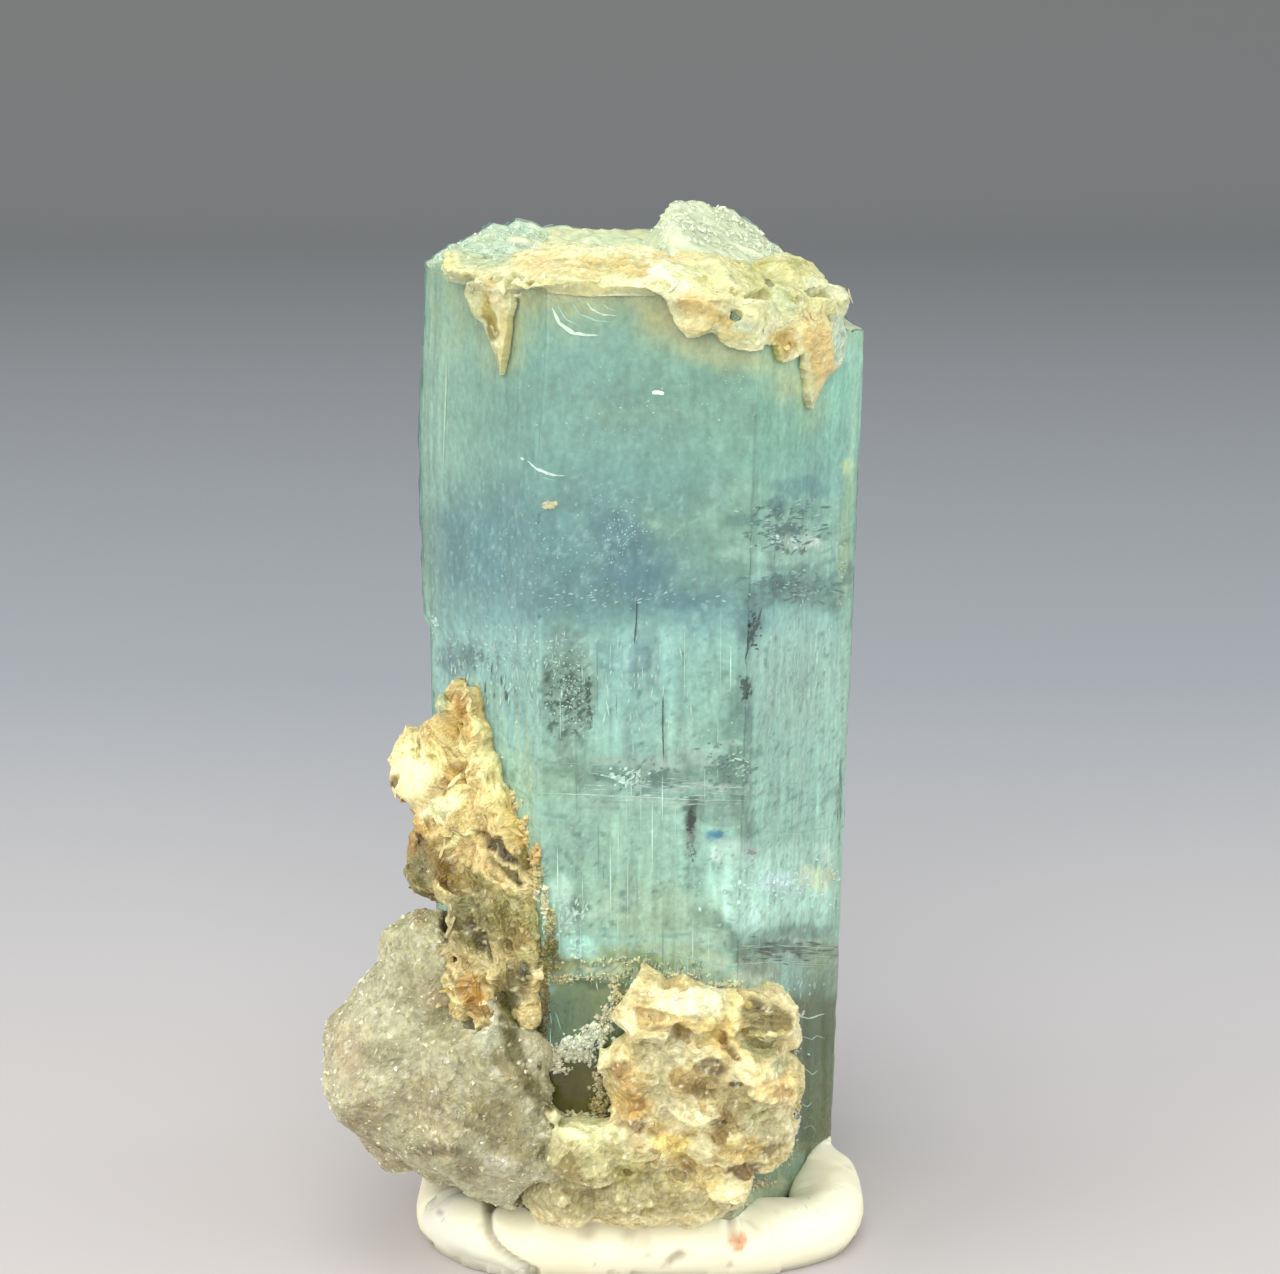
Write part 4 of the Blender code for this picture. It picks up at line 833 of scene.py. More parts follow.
# grains over the front faces: x, z, spread x and z, count, size from and to, red, green, blue
CRUMBS = (
    (-2.55, 10.27, 0.63, 0.21, 190, 0.05, 0.16, 232, 236, 206),
    (-1.96, 10.52, 0.47, 0.30, 190, 0.05, 0.17, 226, 230, 200),
    (-3.46, 9.67, 0.39, 0.34, 140, 0.05, 0.15, 236, 228, 194),
    (-2.36, 9.75, 0.63, 0.22, 160, 0.05, 0.15, 218, 218, 184),
    (-3.15, 9.15, 0.32, 0.13, 60, 0.04, 0.12, 222, 214, 180),
    (-1.33, 11.21, 0.27, 0.51, 90, 0.05, 0.15, 232, 226, 186),
    (-0.94, 12.14, 0.23, 0.59, 70, 0.05, 0.14, 226, 214, 160),
    (-1.66, 8.72, 0.16, 0.78, 80, 0.05, 0.14, 206, 190, 140),
    (-1.58, 7.51, 0.32, 0.43, 80, 0.05, 0.13, 176, 160, 104),
    (-2.57, 7.11, 0.95, 0.17, 110, 0.05, 0.14, 206, 202, 156),
    (-1.95, 13.07, 1.33, 0.13, 90, 0.04, 0.11, 216, 214, 164),
    (-3.28, 12.99, 0.39, 0.17, 60, 0.04, 0.12, 190, 180, 120),
    (-3.71, 12.14, 0.12, 0.85, 80, 0.05, 0.14, 120, 104, 56),
    (-3.89, 10.44, 0.16, 0.86, 110, 0.05, 0.15, 84, 80, 40),
    (-3.71, 8.37, 0.20, 0.69, 90, 0.05, 0.14, 104, 96, 52),
    (-4.22, 12.14, 0.31, 1.02, 120, 0.05, 0.15, 130, 110, 58),
    (-4.47, 10.87, 0.24, 0.60, 70, 0.05, 0.15, 206, 204, 170),
    (-0.78, 13.75, 1.56, 0.13, 70, 0.04, 0.12, 196, 200, 150),
    (1.09, 13.16, 1.33, 0.13, 90, 0.04, 0.13, 214, 212, 166),
    (3.12, 12.82, 0.94, 0.13, 90, 0.04, 0.13, 222, 220, 180),
    (4.88, 12.48, 0.78, 0.13, 60, 0.04, 0.11, 216, 210, 160),
    (6.19, 11.55, 0.31, 0.09, 26, 0.04, 0.1, 226, 226, 196),
    (6.13, 9.92, 0.12, 0.69, 50, 0.04, 0.11, 200, 196, 150),
    (6.28, 8.29, 0.12, 0.95, 60, 0.04, 0.12, 226, 204, 140),
    (6.18, 6.81, 0.16, 0.52, 70, 0.04, 0.11, 226, 226, 196),
    (5.80, 5.67, 0.32, 0.44, 90, 0.04, 0.11, 206, 200, 160),
    (4.78, 4.27, 0.64, 0.18, 80, 0.04, 0.12, 196, 182, 134),
    (3.79, 3.91, 0.56, 0.18, 70, 0.04, 0.12, 216, 208, 160),
    (3.20, 3.20, 1.60, 0.13, 110, 0.04, 0.12, 212, 214, 176),
    (-6.16, 23.08, 0.15, 0.48, 40, 0.06, 0.22, 232, 206, 142),
    (-5.79, 22.16, 0.15, 0.48, 40, 0.06, 0.22, 236, 212, 150),
    (-5.39, 21.15, 0.15, 0.49, 50, 0.06, 0.24, 240, 218, 160),
    (-4.94, 20.13, 0.15, 0.49, 60, 0.06, 0.26, 234, 208, 146),
    (-4.46, 19.11, 0.15, 0.57, 60, 0.06, 0.28, 222, 192, 124),
    (-4.04, 18.08, 0.15, 0.41, 60, 0.06, 0.26, 200, 168, 100),
    (-4.01, 17.17, 0.15, 0.33, 60, 0.05, 0.2, 196, 182, 124),
    (-4.10, 16.63, 0.15, 0.29, 50, 0.05, 0.18, 228, 218, 172),
    (-3.68, 16.14, 0.15, 0.42, 60, 0.04, 0.16, 222, 214, 164),
    (-3.49, 15.30, 0.16, 0.50, 60, 0.04, 0.15, 190, 180, 120),
    (-3.42, 14.34, 0.19, 0.42, 130, 0.04, 0.15, 120, 116, 66),
    (-3.70, 13.58, 0.39, 0.25, 130, 0.04, 0.14, 150, 144, 88),
    (-4.10, 12.99, 0.39, 0.34, 130, 0.05, 0.15, 130, 110, 60),
)
# outlines where the matrix leaves the crystal bare: x, z
BARE_WINDOW = (
    (-3.70, 14.04), (0.08, 14.04), (-0.16, 13.07), (-0.59, 12.35), (-1.17, 11.55), (-1.49, 11.12),
    (-1.61, 10.44), (-1.69, 9.32), (-1.81, 8.50), (-1.58, 7.77), (-1.11, 7.03), (-1.98, 6.90),
    (-3.17, 7.24), (-3.71, 7.94), (-3.91, 8.50), (-3.81, 10.01),
)
BARE_TOP = (
    (-4.47, 40.10), (-3.45, 40.28), (-1.45, 40.28), (0.18, 40.21), (0.87, 39.81), (1.31, 38.70),
    (1.83, 38.18), (2.93, 37.51), (2.95, 35.34), (-4.53, 35.34),
)
# ---- strokes end


def paint_front(points):
    """Zones of the front: milky above, blue and speckled, streaked below, clear and painted dark with shade near the
    foot.
    """
    paint = Paint(points, MILK, 0.86)
    x, z = paint.x, paint.z
    wide, fine = clouds(points, 4.0, 1), clouds(points, 0.9, 2)
    small, tiny = clouds(points, 0.34, 3), clouds(points, 0.17, 4, 2)
    below = 1.0 - rise(z + 0.35 * fine + 0.2 * clouds(points, (0.4, 0.4, 3.0), 10), 26.9, 27.8)
    paint.lay(below, LOW_MILK, 0.84)
    paint.strokes(INSIDE_STROKES)
    edge_left, edge_right = rise(-x, 7.5, 7.9), rise(x, 7.4, 7.9)
    paint.lay(0.6 * edge_left * rise(z, 13.0, 15.0), pigment(164, 192, 170))
    paint.lay(0.5 * edge_right * rise(z, 13.0, 15.0), pigment(168, 196, 172))

    blue = (1.0 - rise(np.abs(z + 0.5 * fine - 30.4), 1.6, 3.4)) * (1.0 - rise(x, 2.5, 5.0))
    frost = rise(z, 12.6, 13.4) * (0.25 + 0.6 * blue + 0.95 * below)
    # painted light: the front right face is made lighter, less so low down, for the light it catches
    lit_right_face = rise(x, 4.1, 4.4)
    paint.colour *= (1.0 + 0.06 * wide + 0.08 * fine + 0.09 * small)[:, None]
    paint.colour *= (1.0 + 0.12 * below + (0.36 - 0.14 * below) * lit_right_face)[:, None]
    low_middle = (1.0 - rise(z, 19.0, 21.5)) * (1.0 - rise(np.abs(x - 0.4), 2.2, 3.8))
    paint.colour *= (1.0 + 0.14 * low_middle + 0.10 * rise(z, 36.0, 38.5) - 0.08 * blue)[:, None]
    paint.lay(0.38 * rise(-x, 4.8, 6.6) * rise(z, 31.0, 35.0), pigment(172, 196, 178))
    corner = rise(x, 5.8, 7.2) * rise(z, 33.5, 36.0)
    paint.colour *= (1.0 + 0.18 * corner)[:, None]
    paint.colour[:, 0] *= 1.0 + 0.07 * below
    streak = clouds(points, (0.30, 0.30, 3.4), 11) + 0.7 * clouds(points, (0.16, 0.16, 1.6), 12, 2)
    paint.colour *= (1.0 + 0.19 * streak * np.maximum(below, rise(np.abs(x), 6.6, 7.2)))[:, None]
    ice = 1.0 - rise(np.abs(clouds(points, (0.55, 0.55, 0.8), 33, 3)), 0.0, 0.12)
    paint.lay(0.50 * frost * ice * rise(fine, -0.3, 0.6), pigment(196, 226, 208))
    cracks = 1.0 - rise(np.abs(clouds(points, (0.42, 0.42, 0.9), 34, 3)), 0.0, 0.10)
    paint.lay(0.46 * frost * cracks * rise(-fine, -0.3, 0.6), pigment(104, 142, 132))
    paint.lay(0.60 * frost * rise(small, 0.50, 0.95), pigment(200, 228, 212))
    paint.lay(0.55 * frost * rise(-small, 0.50, 0.95), pigment(98, 136, 128))
    paint.lay(0.55 * frost * rise(tiny, 0.62, 0.95), pigment(206, 232, 218))
    paint.lay(0.45 * frost * rise(-tiny, 0.62, 0.95), pigment(92, 128, 120))
    level = clouds(points, (1.5, 1.5, 0.26), 35, 3)
    crossed = (1.0 - rise(np.abs(z + 0.3 * fine - 21.0), 1.2, 2.6)) + (1.0 - rise(np.abs(z - 14.2), 0.6, 1.5))
    paint.lay(0.5 * crossed * rise(level, 0.25, 0.8), pigment(180, 208, 186))
    paint.lay(0.5 * crossed * rise(-level, 0.25, 0.8), pigment(106, 142, 128))
    paint.lay(0.4 * rise(x, 4.2, 5.0) * (1.0 - rise(np.abs(z - 30.4), 1.6, 2.8)) * rise(level, 0.1, 0.6),
              pigment(188, 212, 188))
    paint.lay(0.4 * rise(x, 4.2, 5.0) * (1.0 - rise(np.abs(z - 29.6), 1.2, 2.2)) * rise(-level, 0.1, 0.6),
              pigment(96, 128, 114))
    dense = (1.0 - rise(np.abs(x + 2.72), 0.88, 1.02)) * (1.0 - rise(np.abs(z - 24.4), 0.9, 2.2))
    paint.lay(0.9 * dense * rise(clouds(points, 0.19, 16, 2), 0.0, 0.4), pigment(66, 88, 78), 0.9)

    # painted shade: the clear crystal low down is laid dark olive for the shade of the matrix, mica and putty seen
    # through it
    clear = 1.0 - rise(z + 0.3 * fine, 11.9, 12.7)
    paint.lay(clear, pigment(103, 119, 73), 0.74)
    paint.strokes(WINDOW_STROKES)
    paint.colour *= (1.0 + 0.14 * clear * clouds(points, (0.5, 0.5, 1.4), 40))[:, None]
    foot = 1.0 - rise(z + 0.25 * fine, 4.4, 5.6)
    paint.cover += foot * (0.92 - paint.cover)
    paint.lay(0.6 * foot * rise(small, 0.2, 0.8), pigment(216, 222, 190))
    paint.lay(1.0 - rise(z + 0.3 * small, 2.7, 3.2), pigment(216, 214, 176), 0.95)
    lines = rise(np.sin(x * 24.0 + 1.6 * clouds(points, (1.0, 1.0, 9.0), 29)), 0.0, 0.8)
    paint.lay(0.30 * edge_left * lines * rise(z, 13.0, 15.0), pigment(118, 150, 134))
    paint.lay(0.30 * edge_right * lines * rise(z, 13.0, 15.0) * (1.0 - rise(z, 24.0, 27.0)), pigment(96, 130, 118))
    paint.lay(0.5 * rise(z, 37.2, 39.2) * rise(fine, -0.6, 0.5), pigment(172, 186, 142), 0.88)
    return paint


def paint_back(points):
    """The rear faces: the same milk and streaks, with no single features, and painted shade low down."""
    paint = Paint(points, MILK, 0.86)
    z = points[:, 2]
    wide = clouds(points, 4.0, 41)
    fine = clouds(points, 0.9, 42)
    paint.lay(0.6 * rise(wide, -0.2, 0.9), (0.37, 0.56, 0.45))
    paint.lay(0.6 * (1.0 - rise(np.abs(z + 1.5 * wide - 30.0), 1.5, 3.5)), DEEP_BLUE)
    below = 1.0 - rise(z + 0.8 * fine, 26.6, 28.0)
    paint.lay(below, LOW_MILK, 0.8)
    paint.lay(0.6 * below * paint.streaks(0.35, 3.5, 43), (0.54, 0.78, 0.68), 0.86)
    paint.lay(0.5 * below * paint.streaks(0.5, 2.5, 44, 0.3, 0.9), (0.26, 0.42, 0.36), 0.7)
    # painted shade: the lower rear faces are laid dark olive for the shade of the matrix and putty behind them
    paint.lay(0.9 * (1.0 - rise(z + 1.2 * wide, 9.5, 12.5)), (0.12, 0.16, 0.075), 0.85)
    paint.lay(1.0 - rise(z + 0.4 * fine, 3.4, 5.2), (0.60, 0.66, 0.50), 0.9)
    paint.colour *= (1.0 + 0.08 * fine)[:, None]
    paint.colour *= 1.13
    return paint


def paint_deep(points):
    """The heart of the crystal: cloudy above, painted dark green with shade where the matrix and putty darken the foot.
    """
    paint = Paint(points, (0.30, 0.50, 0.42), 0.8)
    wide = clouds(points, 3.0, 51)
    paint.lay(0.6 * rise(wide, -0.2, 0.8), (0.42, 0.62, 0.50))
    # painted shade: dark green low down stands for the shade of the matrix and putty seen through the foot
    paint.lay(1.0 - rise(points[:, 2] + 1.5 * wide, 12.0, 15.0), DEEP_SHADE_GREEN, 0.96)
    paint.lay(0.5 * (1.0 - rise(points[:, 2], 8.0, 14.0)) * rise(clouds(points, 0.8, 52), 0.1, 0.8), (0.16, 0.17, 0.06))
    return paint


def build_veil(name, inset, faces, low, high, spacing, painter, material):
    """A milky layer of fine inclusions, following the faces from inside."""
    obj, points = veil_grid(name, inset, faces, low, high, spacing)
    paint = painter(points)
    store(obj.data, "tint", np.clip(VEIL_GAIN * paint.colour, 0.0, 0.97), "COLOR")
    store(obj.data, "cover", np.clip(paint.cover, 0.0, 1.0))
    obj.data.shade_smooth()
    return finish_piece(obj, material, "aquamarine", "aquamarine_crystal")


def build_cap_veil(material):
    """The milky, iron-stained skin just under the broken upper end."""
    verts, quads = [], []
    rings, sides = 48, 240
    outline = face_reaches(TOP_Z - 1.0, -0.12)
    corners = [corner(outline, k) for k in range(-1, 5)]
    for ring in range(rings + 1):
        scale = max(0.01, 1.0 - ring / rings)
        for k in range(sides):
            face, part = divmod(k, sides // 6)
            p = corners[face].lerp(corners[(face + 1) % 6], part / (sides / 6)) * scale
            verts.append((p.x, p.y, top_height(p.x, p.y) - 0.12))
    for ring in range(rings):
        for k in range(sides):
            j = (k + 1) % sides
            quads.append((ring * sides + k, ring * sides + j, (ring + 1) * sides + j, (ring + 1) * sides + k))
    points = np.array(verts)
    obj = from_lists("cap_haze", points, quads)
    paint = Paint(points, (0.56, 0.61, 0.42), 0.95)
    fine, small = clouds(points, 0.8, 61), clouds(points, 0.3, 63)
    paint.lay(rise(-points[:, 0], 3.6, 4.6), (0.53, 0.61, 0.49))
    mound = rise(points[:, 0], 0.2, 1.2) * rise(points[:, 1], -1.6, 0.6)
    paint.lay(mound, (0.62, 0.63, 0.475))
    paint.lay(0.5 * rise(clouds(points, 1.6, 62), 0.1, 0.8) * (1.0 - mound), (0.70, 0.60, 0.36))
    paint.lay(0.6 * rise(small, 0.2, 0.7), (0.80, 0.82, 0.66))
    paint.lay(0.5 * rise(-small, 0.2, 0.7), (0.40, 0.46, 0.32))
    paint.colour *= (1.0 + 0.12 * fine + 0.08 * clouds(points, 0.15, 64, 2))[:, None]
    store(obj.data, "tint", np.clip(paint.colour, 0.0, 1.0), "COLOR")
    store(obj.data, "cover", np.clip(paint.cover, 0.0, 1.0))
    return finish_piece(obj, material, "aquamarine", "aquamarine_crystal")


# fine inclusions behind the front faces: x, z, spread x and z, count, length from and to, width,
# angle from upright, spread of angle, colour
FROST = (0.47, 0.64, 0.55)
WHITE_GLINT = (0.74, 0.84, 0.76)
SHADE = (0.045, 0.085, 0.065)
SOFT_SHADE = (0.14, 0.25, 0.21)
SLIVERS = (
    (-5.2, 25.6, 2.2, 1.7, 50, 0.15, 0.60, 0.045, 2, 16, FROST),
    (-5.0, 26.6, 2.4, 0.8, 60, 0.05, 0.16, 0.070, 0, 90, FROST),
    (-0.3, 25.0, 2.0, 2.3, 40, 0.20, 0.80, 0.040, 0, 12, FROST),
    (6.2, 26.0, 1.2, 2.2, 40, 0.20, 1.00, 0.035, 0, 8, FROST),
    (-2.7, 24.6, 0.75, 1.5, 130, 0.04, 0.12, 0.055, 0, 90, SHADE),
    (-2.6, 24.9, 0.8, 1.6, 60, 0.05, 0.14, 0.055, 0, 90, FROST),
    (-1.95, 24.6, 0.10, 0.7, 30, 0.08, 0.24, 0.060, 0, 30, SHADE),
    (0.3, 20.9, 3.2, 0.4, 26, 0.30, 1.10, 0.030, 90, 5, FROST),
    (0.4, 21.4, 2.6, 0.6, 50, 0.10, 0.36, 0.070, 60, 60, SOFT_SHADE),
    (-0.6, 21.4, 0.8, 0.3, 24, 0.12, 0.40, 0.080, 50, 40, (0.60, 0.76, 0.68)),
    (5.8, 30.7, 0.8, 0.22, 40, 0.06, 0.22, 0.100, 40, 80, WHITE_GLINT),
    (5.4, 31.2, 1.5, 1.1, 60, 0.10, 0.50, 0.045, 76, 40, FROST),
    (5.4, 31.2, 1.3, 1.0, 90, 0.12, 0.60, 0.070, 76, 30, SOFT_SHADE),
    (5.7, 29.0, 1.6, 0.6, 90, 0.10, 0.50, 0.060, 60, 60, SOFT_SHADE),
    (5.7, 29.0, 1.3, 0.5, 24, 0.10, 0.36, 0.045, 78, 40, FROST),
    (-2.9, 15.6, 0.7, 0.9, 70, 0.12, 0.46, 0.070, 0, 60, (0.50, 0.66, 0.56)),
    (-2.4, 14.3, 0.36, 0.36, 30, 0.08, 0.24, 0.110, 20, 80, (0.52, 0.76, 0.66)),
    (0.6, 13.3, 2.4, 0.5, 70, 0.12, 0.50, 0.050, 0, 26, (0.48, 0.56, 0.42)),
    (0.6, 13.2, 2.4, 0.5, 50, 0.12, 0.50, 0.060, 0, 26, (0.18, 0.22, 0.12)),
    (5.8, 14.1, 1.8, 0.45, 26, 0.40, 1.20, 0.030, 90, 6, (0.40, 0.50, 0.38)),
    (5.8, 14.2, 1.8, 0.5, 30, 0.30, 0.90, 0.045, 90, 12, (0.09, 0.13, 0.08)),
    (5.2, 12.8, 1.7, 0.5, 40, 0.12, 0.46, 0.050, 0, 40, FROST),
    (5.0, 16.8, 2.2, 1.0, 90, 0.06, 0.22, 0.080, 30, 90, (0.60, 0.80, 0.71)),
    (6.0, 17.0, 0.8, 0.4, 30, 0.06, 0.20, 0.120, 30, 90, (0.72, 0.86, 0.84)),
    (-6.4, 26.2, 0.7, 0.4, 50, 0.05, 0.18, 0.070, 0, 80, SOFT_SHADE),
    (-5.6, 24.9, 0.6, 0.7, 6, 0.30, 0.70, 0.040, 4, 8, SHADE),
    (4.0, 24.9, 0.22, 0.42, 34, 0.10, 0.34, 0.070, 12, 24, SHADE),
    (4.3, 27.2, 0.22, 0.7, 30, 0.10, 0.36, 0.070, 16, 20, SHADE),
    (1.95, 19.6, 0.10, 0.42, 36, 0.08, 0.28, 0.090, 0, 40, (0.02, 0.035, 0.03)),
    (2.0, 18.7, 0.2, 0.6, 24, 0.06, 0.20, 0.060, 0, 60, (0.17, 0.20, 0.17)),
    (2.96, 19.05, 0.20, 0.12, 20, 0.06, 0.18, 0.090, 50, 60, (0.07, 0.27, 0.38)),
    (4.35, 18.3, 0.12, 0.10, 10, 0.06, 0.16, 0.060, 50, 60, (0.36, 0.31, 0.32)),
    (3.4, 21.8, 1.0, 0.8, 60, 0.10, 0.36, 0.070, 60, 40, SOFT_SHADE),
    (3.9, 21.9, 0.5, 0.6, 20, 0.12, 0.40, 0.050, 50, 40, FROST),
    (0.0, 34.5, 7.0, 5.0, 90, 0.02, 0.06, 0.035, 0, 90, FROST),
    (-0.7, 31.1, 0.9, 1.2, 60, 0.03, 0.09, 0.050, 0, 90, (0.44, 0.60, 0.58)),
    (-3.0, 30.0, 3.4, 1.6, 90, 0.03, 0.09, 0.045, 0, 90, (0.42, 0.58, 0.55)),
    (-1.0, 28.5, 3.6, 0.4, 40, 0.08, 0.30, 0.040, 70, 40, (0.40, 0.56, 0.50)),
    (0.0, 20.0, 7.2, 7.0, 130, 0.03, 0.10, 0.045, 0, 90, FROST),
    (-8.0, 33.0, 0.22, 4.6, 8, 1.60, 5.00, 0.030, 0, 1, (0.42, 0.54, 0.42)),
    (7.75, 20.0, 0.18, 3.2, 20, 0.40, 1.40, 0.035, 0, 4, SOFT_SHADE),
    (7.5, 30.4, 0.25, 2.0, 40, 0.04, 0.14, 0.070, 0, 90, (0.54, 0.58, 0.36)),
    (7.3, 17.4, 0.3, 0.4, 30, 0.04, 0.14, 0.080, 0, 90, (0.66, 0.70, 0.48)),
    (-7.75, 27.6, 0.14, 0.18, 16, 0.04, 0.14, 0.060, 0, 90, (0.62, 0.76, 0.70)),
    (-3.4, 32.10, 0.20, 0.14, 30, 0.08, 0.26, 0.110, 60, 30, (0.64, 0.58, 0.34)),
    (0.8, 36.0, 6.0, 2.0, 30, 0.03, 0.12, 0.050, 60, 60, FROST),
)
# curved fractures and threads: points (x, z), width, colour
THREADS = (
    (((-4.15, 33.80), (-3.85, 33.52), (-3.45, 33.30), (-2.80, 33.20)), 0.09, WHITE_GLINT),
    (((-4.40, 33.92), (-4.28, 33.86)), 0.11, WHITE_GLINT),
    (((-3.60, 33.15), (-3.20, 33.05)), 0.05, FROST),
    (((0.45, 36.34), (0.66, 36.37), (0.88, 36.32)), 0.15, (0.88, 0.95, 0.86)),
    (((-3.20, 39.50), (-2.95, 38.95), (-2.40, 38.56), (-1.55, 38.50)), 0.13, WHITE_GLINT),
    (((-3.00, 39.60), (-2.70, 39.10), (-2.20, 38.85)), 0.06, FROST),
    (((-2.50, 39.75), (-2.20, 39.30), (-1.60, 39.05), (-1.10, 39.00)), 0.07, FROST),
    (((-2.00, 39.80), (-1.75, 39.45), (-1.30, 39.25), (-0.85, 39.22)), 0.06, WHITE_GLINT),
    (((-1.40, 39.75), (-1.20, 39.50), (-0.80, 39.40)), 0.06, FROST),
    (((4.58, 28.10), (4.40, 27.30), (4.12, 26.70), (3.96, 26.10)), 0.09, SHADE),
    (((0.88, 24.90), (0.86, 23.60), (0.90, 22.10)), 0.06, SHADE),
    (((-0.12, 28.40), (-0.14, 27.50), (-0.22, 26.70)), 0.07, SHADE),
    (((-3.80, 20.75), (-1.50, 20.62), (1.20, 20.50), (4.10, 20.42)), 0.045, WHITE_GLINT),
    (((-1.60, 20.40), (0.80, 20.28), (3.90, 20.30)), 0.040, FROST),
    (((-3.40, 21.95), (-1.00, 21.85)), 0.035, FROST),
    (((1.80, 20.85), (4.50, 20.60)), 0.040, FROST),
    (((-2.00, 21.55), (-1.20, 21.40), (-0.40, 21.10), (0.60, 20.90)), 0.08, FROST),
    (((4.70, 20.90), (6.30, 21.20), (7.50, 21.50)), 0.030, FROST),
    (((4.40, 19.20), (6.00, 19.10), (7.60, 19.40)), 0.030, FROST),
    (((-0.90, 13.90), (1.20, 14.10), (3.30, 13.60), (5.10, 13.75), (7.70, 13.60)), 0.05, FROST),
    (((3.40, 14.20), (5.30, 14.45), (7.80, 14.30)), 0.04, FROST),
    (((6.35, 10.60), (6.75, 10.45), (6.95, 10.62), (7.25, 10.50)), 0.05, FROST),
    (((6.15, 9.10), (6.50, 9.22), (6.80, 8.95), (7.05, 9.15)), 0.05, FROST),
    (((6.40, 7.70), (6.65, 7.55), (6.80, 7.75)), 0.05, FROST),
    (((6.55, 6.60), (6.80, 6.75), (7.00, 6.50)), 0.04, FROST),
    (((6.00, 11.50), (6.60, 11.35), (7.20, 11.55)), 0.06, WHITE_GLINT),
    (((6.25, 8.40), (6.35, 8.30)), 0.07, WHITE_GLINT),
    (((6.60, 9.85), (6.70, 9.78)), 0.07, WHITE_GLINT),
    (((-3.30, 11.60), (-3.10, 10.90)), 0.05, (0.30, 0.55, 0.50)),
    (((-3.60, 12.20), (-3.45, 11.00)), 0.05, (0.20, 0.42, 0.38)),
    (((-7.30, 33.00), (-7.10, 36.50), (-7.05, 38.50)), 0.05, (0.42, 0.56, 0.40)),
    (((-8.30, 28.50), (-8.25, 32.00), (-8.30, 37.00)), 0.05, (0.60, 0.75, 0.58)),
    (((-8.05, 28.20), (-8.00, 31.00), (-8.05, 35.50)), 0.04, (0.26, 0.38, 0.28)),
)


def build_slivers(material):
    """Hair-fine healed cracks, needles and specks just behind the front faces."""
    rng = random.Random(21)
    verts, quads, colours = [], [], []
    for x, z, spread_x, spread_z, count, short, long, width, lean, fan, colour in SLIVERS:
        for _ in range(int(1.5 * count)):
            px = x + spread_x * 0.55 * rng.gauss(0.0, 1.0)
            pz = z + spread_z * 0.55 * rng.gauss(0.0, 1.0)
            if abs(px - x) > 1.3 * spread_x or abs(pz - z) > 1.3 * spread_z or not -8.2 < px < 8.2:
                continue
            depth = rng.uniform(0.03, 0.07)
            angle = math.radians(lean + rng.gauss(0.0, 0.5) * fan)
            along = Vector((math.sin(angle), 0.0, math.cos(angle)))
            across = Vector((along.z, 0.0, -along.x))
            half = 0.5 * (short + (long - short) * rng.random() ** 2)
            wide = 0.78 * width * rng.uniform(0.6, 1.3)
            shade = rng.uniform(0.75, 1.1)
            start = len(verts)
            for a, b in ((-1.0, -0.2), (0.0, -1.0), (1.0, 0.1), (0.1, 1.0)):
                spot = Vector((px, 0.0, pz)) + along * half * a + across * wide * b
                spot = on_front(max(-8.0, min(8.0, spot.x)), spot.z, depth)
                spot.z = min(spot.z, top_height(spot.x, spot.y) - 0.3)
                verts.append(tuple(spot))
                colours.append([min(1.0, c * shade) for c in colour])
            quads.append((start, start + 1, start + 2, start + 3))
    for path, width, colour in THREADS:
        add_thread(verts, quads, colours, path, width, colour)
    obj = from_lists("healed_cracks", verts, quads)
    store(obj.data, "tint", colours, "COLOR")
    return finish_piece(obj, material, "aquamarine", "aquamarine_crystal")


def add_thread(verts, quads, colours, path, width, colour, depth=0.05):
    """A ribbon along a path behind the front faces, tapering to both ends."""
    points = [Vector((x, 0.0, z)) for x, z in path]
    fine = []
    for a, b in zip(points, points[1:]):
        steps = max(2, int((b - a).length / 0.12))
        fine += [a.lerp(b, k / steps) for k in range(steps)]
    fine.append(points[-1])
    start = len(verts)
    for k, spot in enumerate(fine):
        along = (fine[min(k + 1, len(fine) - 1)] - fine[max(k - 1, 0)]).normalized()
        across = Vector((along.z, 0.0, -along.x))
        taper = math.sin(math.pi * (k + 0.5) / len(fine)) ** 0.5
        uneven = 1.0 + 0.7 * noise.noise(spot * 5.0)
        for side in (-0.5, 0.5):
            p = spot + across * width * side * taper * uneven + Vector((0, 0, 0.03 * noise.noise(spot * 3.0)))
            p = on_front(p.x, p.z, depth)
            verts.append((p.x, p.y + 0.02 * side, min(p.z, top_height(p.x, p.y) - 0.3)))
            colours.append(colour)
        if k:
            a = start + 2 * k
            quads.append((a - 2, a - 1, a + 1, a))


def add_grain(verts, faces, centre, size, rng):
    """One small angular grain."""
    start = len(verts)
    for axis in range(3):
        for sign in (-1.0, 1.0):
            corner_point = Vector([rng.gauss(0.0, 0.22) for _ in range(3)])
            corner_point[axis] += sign * rng.uniform(0.7, 1.15)
            verts.append(tuple(centre + corner_point * size))
    for x in (0, 1):
        for y in (2, 3):
            for z in (4, 5):
                odd = (x + (y - 2) + (z - 4)) % 2
                a, b, c = start + x, start + y, start + z
                faces.append((a, b, c) if odd else (a, c, b))


